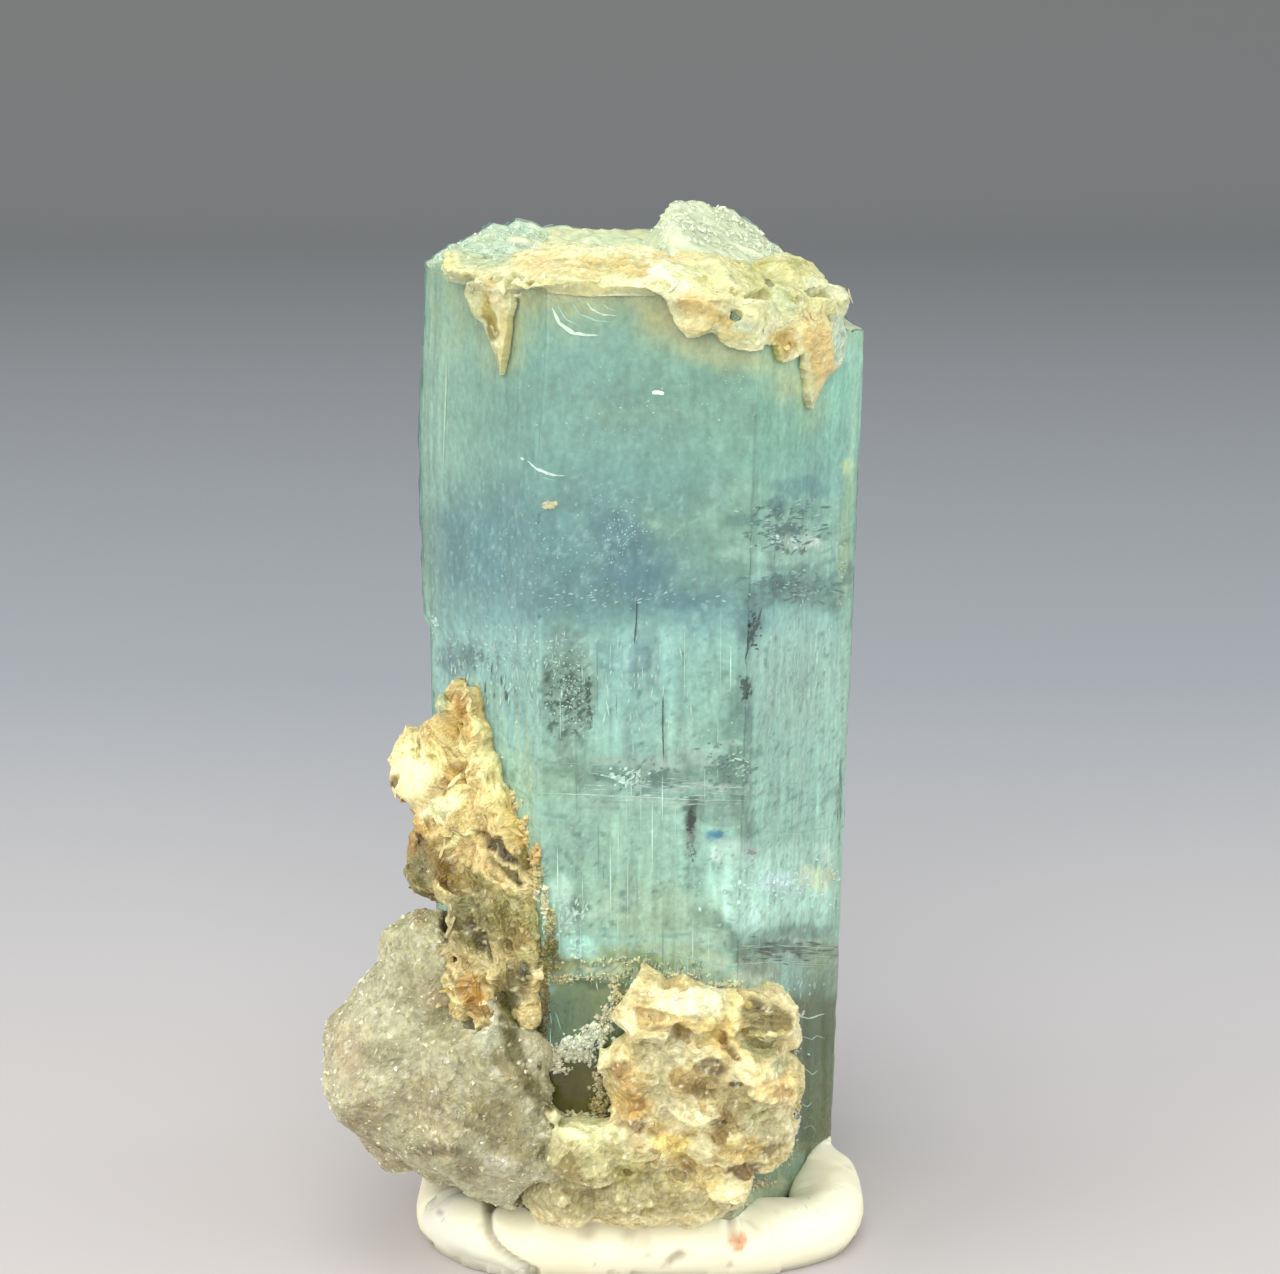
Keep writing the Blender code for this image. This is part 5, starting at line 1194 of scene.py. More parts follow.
def build_crumbs(material):
    """Loose-looking grains that feather the matrix out over the crystal's front."""
    rng = random.Random(33)
    verts, faces, tints = [], [], []
    for x, z, spread_x, spread_z, count, small, large, *colour in CRUMBS:
        hue = 0.95 * pigment(*colour)
        for _ in range(count):
            px, pz = x + spread_x * rng.gauss(0.0, 0.6), z + spread_z * rng.gauss(0.0, 0.7)
            size = small + (large - small) * rng.random() ** 2
            centre = on_front(px, pz, 0.35 * size)
            centre.z = min(centre.z, top_height(centre.x, centre.y))
            add_grain(verts, faces, centre, size, rng)
            tints += [list(np.minimum(1.0, hue * rng.uniform(0.7, 1.2)))] * 6
    for _ in range(2600):
        x, y = rng.uniform(-8.0, 7.6), rng.uniform(-6.6, 7.2)
        on_mound = smooth(x, 0.2, 1.2) * smooth(y, -1.8, 0.2)
        on_block = 0.8 * smooth(-x, 3.6, 4.4)
        reaches = face_reaches(TOP_Z - 1.0, -0.25)
        inside = all(Vector((x, y, 0.0)).dot(face_normal(face)) < reaches[face] for face in range(6))
        size = 0.05 + 0.11 * rng.random() ** 2
        if inside and rng.random() < max(on_mound, on_block):
            add_grain(verts, faces, Vector((x, y, top_height(x, y) - 0.3 * size)), size, rng)
            hue = pigment(206, 218, 186) if on_mound > 0.5 else pigment(182, 204, 176)
            tints += [list(np.minimum(1.0, hue * rng.uniform(0.75, 1.15)))] * 6
    obj = from_lists("edge_crumbs", verts, faces)
    store(obj.data, "tint", tints, "COLOR")
    return finish_piece(obj, material, "matrix_crust", "front_matrix_crust")


def build_sugar(host_obj, material):
    """Small glassy grains set in the albite's surface."""
    rng = random.Random(8)
    mesh = host_obj.data
    areas = np.empty(len(mesh.polygons))
    mesh.polygons.foreach_get("area", areas)
    hues = mesh.attributes["tint"].data
    verts, faces, tints = [], [], []
    for index in rng.choices(range(len(areas)), weights=areas, k=3600):
        polygon = mesh.polygons[index]
        size = 0.05 + 0.13 * rng.random() ** 3
        centre = polygon.center / MM - AXIS - polygon.normal * 0.35 * size
        add_grain(verts, faces, centre, size, rng)
        tints += [list(np.array(hues[polygon.vertices[0]].color[:3]) * rng.uniform(0.9, 2.1))] * 6
    low = (np.array(CAD_BOX[0]) / MM - np.array(AXIS)) + 0.02
    obj = from_lists("albite_grains", np.maximum(np.array(verts), low), faces)
    store(obj.data, "tint", np.minimum(tints, 1.0), "COLOR")
    return finish_piece(obj, material, "albite", "albite_lump")


def build_needles(material):
    """Upright growth tubes and cloudy threads through the body, seen from every side."""
    rng = random.Random(5)
    verts, quads, colours = [], [], []
    for _ in range(380):
        face = rng.choice((0, 2, 2, 3, 3, 3, 4, 4, 4))
        length = rng.uniform(0.4, 3.5)
        z = rng.uniform(4.0, 25.0) if face < 2 or rng.random() < 0.75 else rng.uniform(25.0, 36.0)
        reaches = face_reaches(z, -rng.uniform(0.03, 0.08))
        place = corner(reaches, face - 1).lerp(corner(reaches, face), rng.uniform(0.03, 0.97))
        outward = face_normal(face)
        side = Vector((-outward.y, outward.x, 0.0)) * rng.uniform(0.010, 0.022)
        colour = rng.choice((FROST, FROST, (0.62, 0.86, 0.76), SOFT_SHADE))
        start = len(verts)
        for height, wide in ((0.0, 0.2), (0.5, 1.0), (1.0, 0.2)):
            for sign in (-1.0, 1.0):
                p = place + side * sign * wide
                verts.append((p.x, p.y, z + height * length))
                colours.append(colour)
        quads += [(start, start + 1, start + 3, start + 2), (start + 2, start + 3, start + 5, start + 4)]
    obj = from_lists("growth_tubes", verts, quads)
    store(obj.data, "tint", colours, "COLOR")
    return finish_piece(obj, material, "aquamarine", "aquamarine_crystal")


# ------------------------------------------------------------------ shader helpers


def new_material(name):
    """An empty node material and its Principled shader."""
    material = bpy.data.materials.new(name)
    material.use_nodes = True
    tree = material.node_tree
    return material, tree, tree.nodes["Principled BSDF"]


def object_coordinates(tree, stretch=(1.0, 1.0, 1.0)):
    """Coordinates in millimetres that stay with the piece."""
    where = tree.nodes.new("ShaderNodeTexCoord")
    mapping = tree.nodes.new("ShaderNodeMapping")
    mapping.inputs["Scale"].default_value = [s / MM for s in stretch]
    tree.links.new(where.outputs["Object"], mapping.inputs["Vector"])
    return mapping.outputs["Vector"]


def noise_value(tree, coords, scale, detail=4.0, rough=0.55, distortion=0.0):
    """A noise texture's value, scale in waves per millimetre."""
    node = tree.nodes.new("ShaderNodeTexNoise")
    node.inputs["Scale"].default_value = scale
    node.inputs["Detail"].default_value = detail
    node.inputs["Roughness"].default_value = rough
    node.inputs["Distortion"].default_value = distortion
    tree.links.new(coords, node.inputs["Vector"])
    return node.outputs["Fac"]


def ramp(tree, value, stops):
    """A colour ramp over value; stops are (position, colour)."""
    node = tree.nodes.new("ShaderNodeValToRGB")
    elements = node.color_ramp.elements
    while len(elements) < len(stops):
        elements.new(0.5)
    for element, (position, colour) in zip(elements, stops):
        element.position = position
        element.color = (*colour, 1.0) if len(colour) == 3 else colour
    tree.links.new(value, node.inputs["Fac"])
    return node.outputs["Color"]


def grey(value):
    """A grey for a ramp that carries a number."""
    return (value, value, value)


def attribute(tree, name, output="Fac"):
    """A value stored on the mesh."""
    node = tree.nodes.new("ShaderNodeAttribute")
    node.attribute_name = name
    return node.outputs[output]


def mix(tree, factor, one, two, blend="MIX"):
    """Mix two colours; factor may be a number or a socket."""
    node = tree.nodes.new("ShaderNodeMix")
    node.data_type = "RGBA"
    node.blend_type = blend
    for socket, value in ((node.inputs[0], factor), (node.inputs[6], one), (node.inputs[7], two)):
        if isinstance(value, (int, float)):
            socket.default_value = value
        elif isinstance(value, tuple):
            socket.default_value = (*value, 1.0)
        else:
            tree.links.new(value, socket)
    return node.outputs[2]


def math_node(tree, operation, one, two=0.0):
    """Arithmetic on numbers or sockets."""
    node = tree.nodes.new("ShaderNodeMath")
    node.operation = operation
    for socket, value in zip(node.inputs, (one, two)):
        if isinstance(value, (int, float)):
            socket.default_value = value
        else:
            tree.links.new(value, socket)
    return node.outputs[0]


def bump(tree, shader, height, strength, distance):
    """Fine relief from a height value, distance in millimetres."""
    node = tree.nodes.new("ShaderNodeBump")
    node.inputs["Strength"].default_value = strength
    node.inputs["Distance"].default_value = distance * MM
    tree.links.new(height, node.inputs["Height"])
    tree.links.new(node.outputs["Normal"], shader.inputs["Normal"])


# ------------------------------------------------------------------ materials


def beryl_material():
    """Clear blue-green beryl: smooth striated faces, frosted where it is etched."""
    material, tree, shader = new_material("beryl")
    coords = object_coordinates(tree)
    height = tree.nodes.new("ShaderNodeSeparateXYZ")
    tree.links.new(coords, height.inputs[0])
    level = math_node(tree, "DIVIDE", height.outputs["Z"], 42.0)
    tint = ramp(tree, level, [
        (0.0, (0.80, 0.90, 0.80)),
        (0.30, (0.93, 1.0, 0.95)),
        (0.58, (0.88, 0.98, 0.96)),
        (0.68, (0.76, 0.90, 0.95)),
        (0.80, (0.86, 0.97, 0.95)),
        (1.0, (0.92, 1.0, 0.93)),
    ])
    tree.links.new(tint, shader.inputs["Base Color"])
    etched = attribute(tree, "etch")
    grain = noise_value(tree, coords, 3.0)
    polish = ramp(tree, grain, [(0.35, grey(0.03)), (0.75, grey(0.12))])
    roughness = mix(tree, etched, polish, (0.42, 0.42, 0.42))
    tree.links.new(roughness, shader.inputs["Roughness"])
    shader.inputs["IOR"].default_value = 1.577
    shader.inputs["Transmission Weight"].default_value = 1.0
    striae = noise_value(tree, object_coordinates(tree, (7.0, 7.0, 0.25)), 1.0, 6.0, 0.65)
    bump(tree, shader, striae, 0.35, 0.02)
    absorb = tree.nodes.new("ShaderNodeVolumeAbsorption")
    absorb.inputs["Color"].default_value = (0.25, 0.92, 0.74, 1.0)
    absorb.inputs["Density"].default_value = 14.0
    tree.links.new(absorb.outputs[0], tree.nodes["Material Output"].inputs["Volume"])
    return material


def veil_material():
    """A haze of inclusions: colour and cover come from the sheet."""
    material, tree, shader = new_material("milky_haze")
    coords = object_coordinates(tree)
    fleck = ramp(tree, noise_value(tree, object_coordinates(tree, (1.0, 1.0, 0.45)), 3.2, 5.0, 0.7, 0.6),
                 [(0.30, grey(0.86)), (0.50, grey(1.0)), (0.70, grey(1.14))])
    colour = mix(tree, 1.0, attribute(tree, "tint", "Color"), fleck, "MULTIPLY")
    tree.links.new(colour, shader.inputs["Base Color"])
    grain = ramp(tree, noise_value(tree, coords, 4.0, 4.0), [(0.3, grey(0.82)), (0.7, grey(1.06))])
    tree.links.new(math_node(tree, "MULTIPLY", attribute(tree, "cover"), grain), shader.inputs["Alpha"])
    shader.inputs["Roughness"].default_value = 0.9
    shader.inputs["Specular IOR Level"].default_value = 0.1
    return material


def sliver_material():
    """Tiny reflecting cracks and specks."""
    material, tree, shader = new_material("crack_glints")
    coords = object_coordinates(tree)
    fleck = ramp(tree, noise_value(tree, coords, 6.0, 2.0), [(0.3, grey(0.8)), (0.7, grey(1.1))])
    colour = mix(tree, 1.0, attribute(tree, "tint", "Color"), fleck, "MULTIPLY")
    tree.links.new(colour, shader.inputs["Base Color"])
    shader.inputs["Roughness"].default_value = 0.35
    return material


def cells(tree, coords, scale, output="Color"):
    """Voronoi cells, scale per millimetre."""
    node = tree.nodes.new("ShaderNodeTexVoronoi")
    node.inputs["Scale"].default_value = scale
    tree.links.new(coords, node.inputs["Vector"])
    return node.outputs[output]


def stone_material(name, roughness, subsurface, radius, grain=4.0, contrast=0.22):
    """Grown mineral coloured by its tint attribute, made of small glinting grains."""
    material, tree, shader = new_material(name)
    coords = object_coordinates(tree)
    tint = attribute(tree, "tint", "Color")
    fine = noise_value(tree, coords, 5.5, 6.0, 0.7)
    shade = ramp(tree, fine, [(0.30, grey(1.0 - contrast)), (0.70, grey(1.0 + contrast))])
    pick = tree.nodes.new("ShaderNodeSeparateColor")
    tree.links.new(cells(tree, coords, grain), pick.inputs[0])
    patchy = ramp(tree, pick.outputs[0], [(0.0, grey(1.0 - contrast)), (1.0, grey(1.0 + 0.8 * contrast))])
    colour = mix(tree, 1.0, tint, shade, "MULTIPLY")
    colour = mix(tree, 1.0, colour, patchy, "MULTIPLY")
    tree.links.new(colour, shader.inputs["Base Color"])
    gloss = ramp(tree, pick.outputs[1], [(0.18, grey(0.10)), (0.30, grey(roughness)), (1.0, grey(roughness + 0.15))])
    tree.links.new(gloss, shader.inputs["Roughness"])
    shader.inputs["Subsurface Weight"].default_value = subsurface
    shader.inputs["Subsurface Radius"].default_value = radius
    shader.inputs["Subsurface Scale"].default_value = 0.5 * MM
    height = mix(tree, 0.5, fine, cells(tree, coords, grain * 1.7, "Distance"))
    bump(tree, shader, height, 0.4, 0.05)
    return material


def crystal_sugar_material():
    """Clear, glossy albite grains."""
    material, tree, shader = new_material("albite_grain")
    coords = object_coordinates(tree)
    shade = ramp(tree, noise_value(tree, coords, 2.5, 4.0), [(0.35, grey(0.75)), (0.65, grey(1.3))])
    colour = mix(tree, 1.0, attribute(tree, "tint", "Color"), shade, "MULTIPLY")
    tree.links.new(colour, shader.inputs["Base Color"])
    tree.links.new(ramp(tree, noise_value(tree, coords, 5.0), [(0.4, grey(0.08)), (0.6, grey(0.3))]),
                   shader.inputs["Roughness"])
    shader.inputs["Subsurface Weight"].default_value = 0.5
    shader.inputs["Subsurface Radius"].default_value = (1.0, 0.9, 0.7)
    shader.inputs["Subsurface Scale"].default_value = 0.4 * MM
    return material


def flake_material(name):
    """Pearly mica: satin sheets with a gloss along their cleavage."""
    material, tree, shader = new_material(name)
    coords = object_coordinates(tree)
    fine = noise_value(tree, coords, 7.0, 5.0, 0.7)
    shade = ramp(tree, fine, [(0.30, grey(0.72)), (0.70, grey(1.18))])
    colour = mix(tree, 1.0, attribute(tree, "tint", "Color"), shade, "MULTIPLY")
    tree.links.new(colour, shader.inputs["Base Color"])
    tree.links.new(ramp(tree, fine, [(0.3, grey(0.22)), (0.7, grey(0.45))]), shader.inputs["Roughness"])
    shader.inputs["Coat Weight"].default_value = 0.35
    shader.inputs["Coat Roughness"].default_value = 0.18
    shader.inputs["Subsurface Weight"].default_value = 0.15
    shader.inputs["Subsurface Radius"].default_value = (1.0, 0.7, 0.35)
    shader.inputs["Subsurface Scale"].default_value = 0.3 * MM
    bump(tree, shader, fine, 0.5, 0.03)
    return material


def putty_material():
    """Soft cream display putty with painted shade in its creases and along its foot."""
    material, tree, shader = new_material("display_putty")
    coords = object_coordinates(tree)
    broad = noise_value(tree, coords, 0.35, 3.0)
    fine = noise_value(tree, coords, 4.0, 5.0, 0.6)
    colour = ramp(tree, broad, [(0.3, (0.90, 0.83, 0.58)), (0.7, (0.94, 0.90, 0.68))])
    speck = ramp(tree, noise_value(tree, coords, 1.9, 2.0), [(0.72, grey(1.0)), (0.80, (0.88, 0.80, 0.66))])
    colour = mix(tree, 1.0, colour, speck, "MULTIPLY")
    crease_shade = attribute(tree, "crease_shade")
    # painted shade: creases, pits, the lap's groove and the foot on the floor are mixed towards dark brown
    colour = mix(tree, crease_shade, colour, (0.10, 0.06, 0.03))
    spot = ramp(tree, fine, [(0.35, (0.62, 0.30, 0.14)), (0.65, (0.80, 0.48, 0.28))])
    colour = mix(tree, attribute(tree, "fleck"), colour, spot)
    tree.links.new(colour, shader.inputs["Base Color"])
    shader.inputs["Roughness"].default_value = 0.5
    shader.inputs["Subsurface Weight"].default_value = 0.35
    shader.inputs["Subsurface Radius"].default_value = (1.0, 0.7, 0.4)
    shader.inputs["Subsurface Scale"].default_value = 0.8 * MM
    bump(tree, shader, fine, 0.35, 0.05)
    return material


# ------------------------------------------------------------------ rock surfaces


def bare_cutter(outline):
    """A block behind an outline seen from the front, to keep the matrix off the crystal there."""
    bm = bmesh.new()
    rows = []
    for y in (-13.0, -6.2):
        t = (y + EYE_DISTANCE) / (FRONT_PLANE + EYE_DISTANCE)
        rows.append([bm.verts.new((x * t, y, EYE_HEIGHT + (z - EYE_HEIGHT) * t)) for x, z in outline])
    bm.faces.new(rows[0])
    bm.faces.new(reversed(rows[1]))
    for k in range(len(outline)):
        j = (k + 1) % len(outline)
        bm.faces.new((rows[0][j], rows[0][k], rows[1][k], rows[1][j]))
    bmesh.ops.recalc_face_normals(bm, faces=bm.faces)
    return to_object("cutter", bm)


# lumps that close the joints between the pieces of matrix: centre and half-sizes
ALBITE_LUMPS = (
    (-4.09, -7.00, 9.79, 0.75, 0.90, 1.00),
    (-4.09, -7.30, 8.34, 0.75, 0.90, 1.00),
    (-3.90, -7.50, 6.88, 0.90, 1.00, 0.90),
    (-3.72, -7.60, 5.45, 1.10, 1.10, 0.90),
    (-3.66, -7.20, 4.02, 1.10, 1.00, 0.80),
    (-5.60, -6.10, 11.40, 0.90, 0.80, 0.90),
    (-4.93, -6.50, 10.38, 0.80, 0.90, 0.90),
    (-6.41, -5.40, 12.21, 0.90, 0.70, 0.80),
    (-7.35, -4.60, 13.24, 0.80, 0.60, 0.80),
)
MICA_LUMPS = (
    (-6.85, -2.90, 22.93, 0.60, 0.50, 0.80),
    (-6.48, -3.50, 21.68, 0.70, 0.60, 0.90),
    (-6.12, -4.00, 20.53, 0.80, 0.70, 0.90),
    (-5.68, -4.60, 19.45, 0.80, 0.80, 0.90),
    (-5.23, -5.20, 18.47, 0.80, 0.80, 0.90),
    (-4.88, -5.60, 17.54, 0.85, 0.80, 0.80),
    (-4.68, -5.90, 16.53, 0.80, 0.75, 0.80),
    (-4.37, -6.20, 15.39, 0.80, 0.70, 0.90),
    (-4.26, -6.40, 14.21, 0.80, 0.70, 0.90),
    (-4.39, -6.40, 12.81, 0.75, 0.65, 0.90),
    (-4.43, -6.70, 11.58, 0.65, 0.60, 0.90),
    (-5.51, -5.90, 13.36, 0.80, 0.70, 0.90),
    (-6.00, -6.00, 11.70, 0.70, 0.60, 0.80),
    (-6.14, -4.20, 18.59, 0.80, 0.70, 1.00),
    (-5.74, -4.80, 17.14, 0.90, 0.80, 1.00),
    (-5.43, -5.20, 15.62, 0.90, 0.80, 1.00),
    (-6.38, -3.20, 21.58, 0.60, 0.50, 1.00),
    (-7.01, -6.30, 11.66, 0.55, 0.45, 0.80),
    (-7.40, -6.00, 12.55, 0.65, 0.50, 0.80),
    (-7.78, -5.40, 13.23, 0.60, 0.50, 0.70),
    (-6.73, -6.10, 12.43, 0.60, 0.50, 0.70),
    (-9.22, -1.70, 19.45, 0.85, 0.80, 1.05),
)


def settle(obj):
    """Make what an object's modifiers do its own mesh."""
    depsgraph = bpy.context.evaluated_depsgraph_get()
    obj.data = bpy.data.meshes.new_from_object(obj.evaluated_get(depsgraph))
    obj.modifiers.clear()


def add_lumps(obj, lumps):
    """Sink ellipsoids into a piece before it is made into one skin."""
    bm = bmesh.new()
    bm.from_mesh(obj.data)
    for x, y, z, *half in lumps:
        ball = bmesh.ops.create_icosphere(bm, subdivisions=3, radius=1.0)["verts"]
        for vert in ball:
            vert.co = (Vector(a * b for a, b in zip(vert.co, half)) + Vector((x, y, z)) + AXIS) * MM
    bm.to_mesh(obj.data)
    bm.free()


def remeshed(name, node, voxel, rounding, bare=None, lumps=()):
    """A fine, even, rounded copy of one solid's surface, less what would cover a bare outline."""
    obj = bpy.data.objects.new(name, NODES[node].data.copy())
    bpy.context.scene.collection.objects.link(obj)
    if bare:
        cutter = bare_cutter(bare)
        cut = obj.modifiers.new("cut", "BOOLEAN")
        cut.object, cut.operation, cut.solver = cutter, "DIFFERENCE", "EXACT"
        settle(obj)
        bpy.data.objects.remove(cutter)
    add_lumps(obj, lumps)
    step = obj.modifiers.new("even", "REMESH")
    step.mode = "VOXEL"
    step.voxel_size = voxel * MM
    step.adaptivity = 0.0
    soften = obj.modifiers.new("soften", "SMOOTH")
    soften.factor = 0.5
    soften.iterations = rounding
    settle(obj)
    obj.data.name = name
    obj.data.materials.clear()
    return obj


def grain_facets(point, size, seed):
    """Height of a jumble of flat, tilted grains about size across, from -0.5 to 0.5 of their size."""
    spot = point / size + Vector((seed * 7.1, seed * 3.3, seed * 5.7))
    cell = noise.voronoi(spot)[1][0]
    tilt = noise.noise_vector(cell * 13.7)
    return size * ((spot - cell).dot(tilt) + 0.45 * noise.noise(cell * 5.1))


def fibres(points, flow, across, along, seed, swirl):
    """Ridges drawn out along flow, from -1 in the creases to 1 on the crests."""
    flow = np.array(flow.normalized())
    side = np.cross(flow, (0.2, 1.0, 0.1))
    side /= np.linalg.norm(side)
    third = np.cross(flow, side)
    bend = [swirl * clouds(points, 1.8, seed + k, 2) for k in range(2)]
    rows = np.stack([points @ flow / along, (points @ side + bend[0]) / across, (points @ third + bend[1]) / across], 1)
    return 1.0 - 2.0 * np.minimum(1.0, 1.8 * np.abs(clouds(rows, 1.0, seed + 5, 2)))


def dress_rock(obj, host, look):
    """Give a piece of matrix its relief, press it onto the crystal and colour it.

    look holds tones, strokes, gain, seed, layers (grain size and strength), flow, swirl and fibres (fibre direction,
    swirl strength and a list of width, length and height), streak, smooth, crevice_shade (painted shade in the
    hollows), glint and sugar (painted glints) and mottle.
    """
    mesh = obj.data
    points = coordinates(mesh)
    normals = np.empty(len(mesh.vertices) * 3)
    mesh.vertex_normals.foreach_get("vector", normals)
    normals = normals.reshape(-1, 3)
    seed = look["seed"]
    blend = np.clip(0.5 + 0.7 * clouds(points, 2.2, seed) + 0.45 * clouds(points, 0.5, seed + 3), 0.0, 1.0)
    paint = Paint(points, (0.0, 0.0, 0.0), 1.0, (0.16, 0.09))
    first, second = (pigment(*tone) for tone in look["tones"])
    paint.colour = first + blend[:, None] * (second - first)
    paint.strokes(look["strokes"])

    facing_front = rise(-normals[:, 1], 0.0, 0.5)
    fibrous = np.zeros(len(points))
    heights = np.zeros(len(points))
    for width, length, height in look.get("fibres", ()):
        ridge = fibres(points, look["flow"], width, length, seed + 31, look["swirl"])
        heights += height * ridge
        fibrous += ridge / len(look["fibres"])
    rough = np.array([sum(strength * grain_facets(Vector(p), size, seed) for size, strength in look["layers"])
                      for p in points])
    calm = np.ones(len(points))
    for x, z, half_x, half_z in look.get("smooth", ()):
        away = np.hypot((paint.x - x) / half_x, (paint.z - z) / half_z)
        calm -= 0.85 * calm * (1.0 - rise(away, 0.6, 1.3))
    for vert, point, outward, lift, extra, front in zip(mesh.vertices, points, normals, (rough + heights) * calm,
                                                        paint.lift, facing_front):
        lift += extra * front
        outward = Vector(outward)
        place, _, _, distance = host.find_nearest(vert.co)
        if distance < 0.75 * MM:
            toward = (place - vert.co).normalized()
            facing = max(0.0, outward.dot(toward)) * (1.0 - smooth(distance / MM, 0.42, 0.75))
            vert.co += toward * (distance + 0.14 * MM) * facing
            lift *= 1.0 - facing
        vert.co += outward * (lift - 0.06) * MM
        for axis in range(3):
            vert.co[axis] = min(CAD_BOX[1][axis] - 0.02 * MM, max(CAD_BOX[0][axis] + 0.02 * MM, vert.co[axis]))
    mesh.update()

    # painted light and shade: raised grains and fibre crests are made lighter, fibre creases and hollows darker
    total = (rough + heights) * calm
    low, high = rise(-total, 0.0, 0.11), rise(total, 0.0, 0.11)
    paint.colour *= (1.0 + 0.10 * high + look["streak"] * fibrous * calm)[:, None]
    paint.colour *= 1.0 - low[:, None] * (1.0 - np.array(look["crevice_shade"]))
    # painted highlights: pale specks laid into the colour as glints on the grains
    specks = rise(clouds(points, 0.22, seed + 11, 2), 0.90 - 0.7 * look["glint"], 0.95)
    paint.lay(look["glint"] * specks, pigment(*look["sugar"]))
    mottle = look["mottle"]
    paint.colour *= (1.0 + mottle * clouds(points, 0.42, seed + 7) + mottle * clouds(points, 0.17, seed + 9, 2))[:, None]
    store(mesh, "tint", np.clip(np.array(look["gain"]) * paint.colour, 0.0, 1.0), "COLOR")


def scatter_flakes(name, host_obj, count, seed, common, mixes, sizes, thickness, keep, flow):
    """Thin irregular flakes growing out of a rock surface, in its colours.

    mixes weighs the common normal, the surface normal and chance; flow is the flakes' long direction.
    """
    rng = random.Random(seed)
    mesh = host_obj.data
    areas = np.empty(len(mesh.polygons))
    mesh.polygons.foreach_get("area", areas)
    order = rng.choices(range(len(areas)), weights=areas, k=count * 4)
    hues = mesh.attributes["tint"].data
    verts, faces, tints, made = [], [], [], 0
    for index in order:
        polygon = mesh.polygons[index]
        centre = polygon.center / MM - AXIS
        if made >= count or not keep(centre, polygon.normal):
            continue
        made += 1
        chance = Vector([rng.gauss(0.0, 1.0) for _ in range(3)])
        normal = (mixes[0] * common + mixes[1] * polygon.normal + mixes[2] * chance).normalized()
        long_axis = (flow + 0.5 * chance).cross(normal).cross(normal).normalized() * -1.0
        wide_axis = normal.cross(long_axis)
        radius = sizes[0] + (sizes[1] - sizes[0]) * rng.random() ** 2.2
        stretch, turn = rng.uniform(1.0, sizes[2]), rng.random() * math.tau
        corners = rng.randint(6, 9)
        start = len(verts)
        colour = Vector(hues[polygon.vertices[0]].color[:3]) * rng.uniform(0.8, 1.25)
        for side in (-0.5, 0.5):
            for k in range(corners):
                angle = turn + math.tau * k / corners
                far = radius * rng.uniform(0.72, 1.12)
                u, v = far * stretch * math.cos(angle), far * math.sin(angle) / stretch
                spot = centre + long_axis * u + wide_axis * v
                spot += normal * (side * thickness + 0.06 * (u * u - v * v) / max(radius, 0.1))
                verts.append(spot)
                # painted light: each flake's outer face is made lighter and its underside darker
                tints.append([min(1.0, c * (1.12 if side > 0 else 0.9)) for c in colour])
        faces.append(tuple(range(start + corners - 1, start - 1, -1)))
        faces.append(tuple(range(start + corners, start + 2 * corners)))
        for k in range(corners):
            j = (k + 1) % corners
            faces.append((start + k, start + j, start + corners + j, start + corners + k))
    low = (np.array(CAD_BOX[0]) / MM - np.array(AXIS)) + 0.02
    high = (np.array(CAD_BOX[1]) / MM - np.array(AXIS)) - 0.02
    obj = from_lists(name, np.clip(np.array([tuple(v) for v in verts]), low, high), faces)
    store(obj.data, "tint", tints, "COLOR")
    return obj


def bvh_of(*names):
    """A search tree over the named solids."""
    verts, polys = [], []
    for name in names:
        mesh = NODES[name].data
        start = len(verts)
        verts += [v.co.copy() for v in mesh.vertices]
        polys += [[start + i for i in p.vertices] for p in mesh.polygons]
    return BVHTree.FromPolygons(verts, polys)


# ------------------------------------------------------------------ the putty ring


def ring_point(angle):
    """A point of the ring's middle line; angle 0 is at the right, rising counter-clockwise."""
    c, s = math.cos(angle), math.sin(angle)
    power = RING_SQUARENESS_FRONT if s < 0 else RING_SQUARENESS_BACK
    depth = RING_WIDEST_Y - RING_FRONT_Y if s < 0 else RING_BACK_Y - RING_WIDEST_Y
    x = RING_HALF_WIDTH * math.copysign(abs(c) ** (2.0 / power), c)
    y = RING_WIDEST_Y + depth * math.copysign(abs(s) ** (2.0 / power), s)
    return Vector((x, y, STRAND_CENTRE_Z))


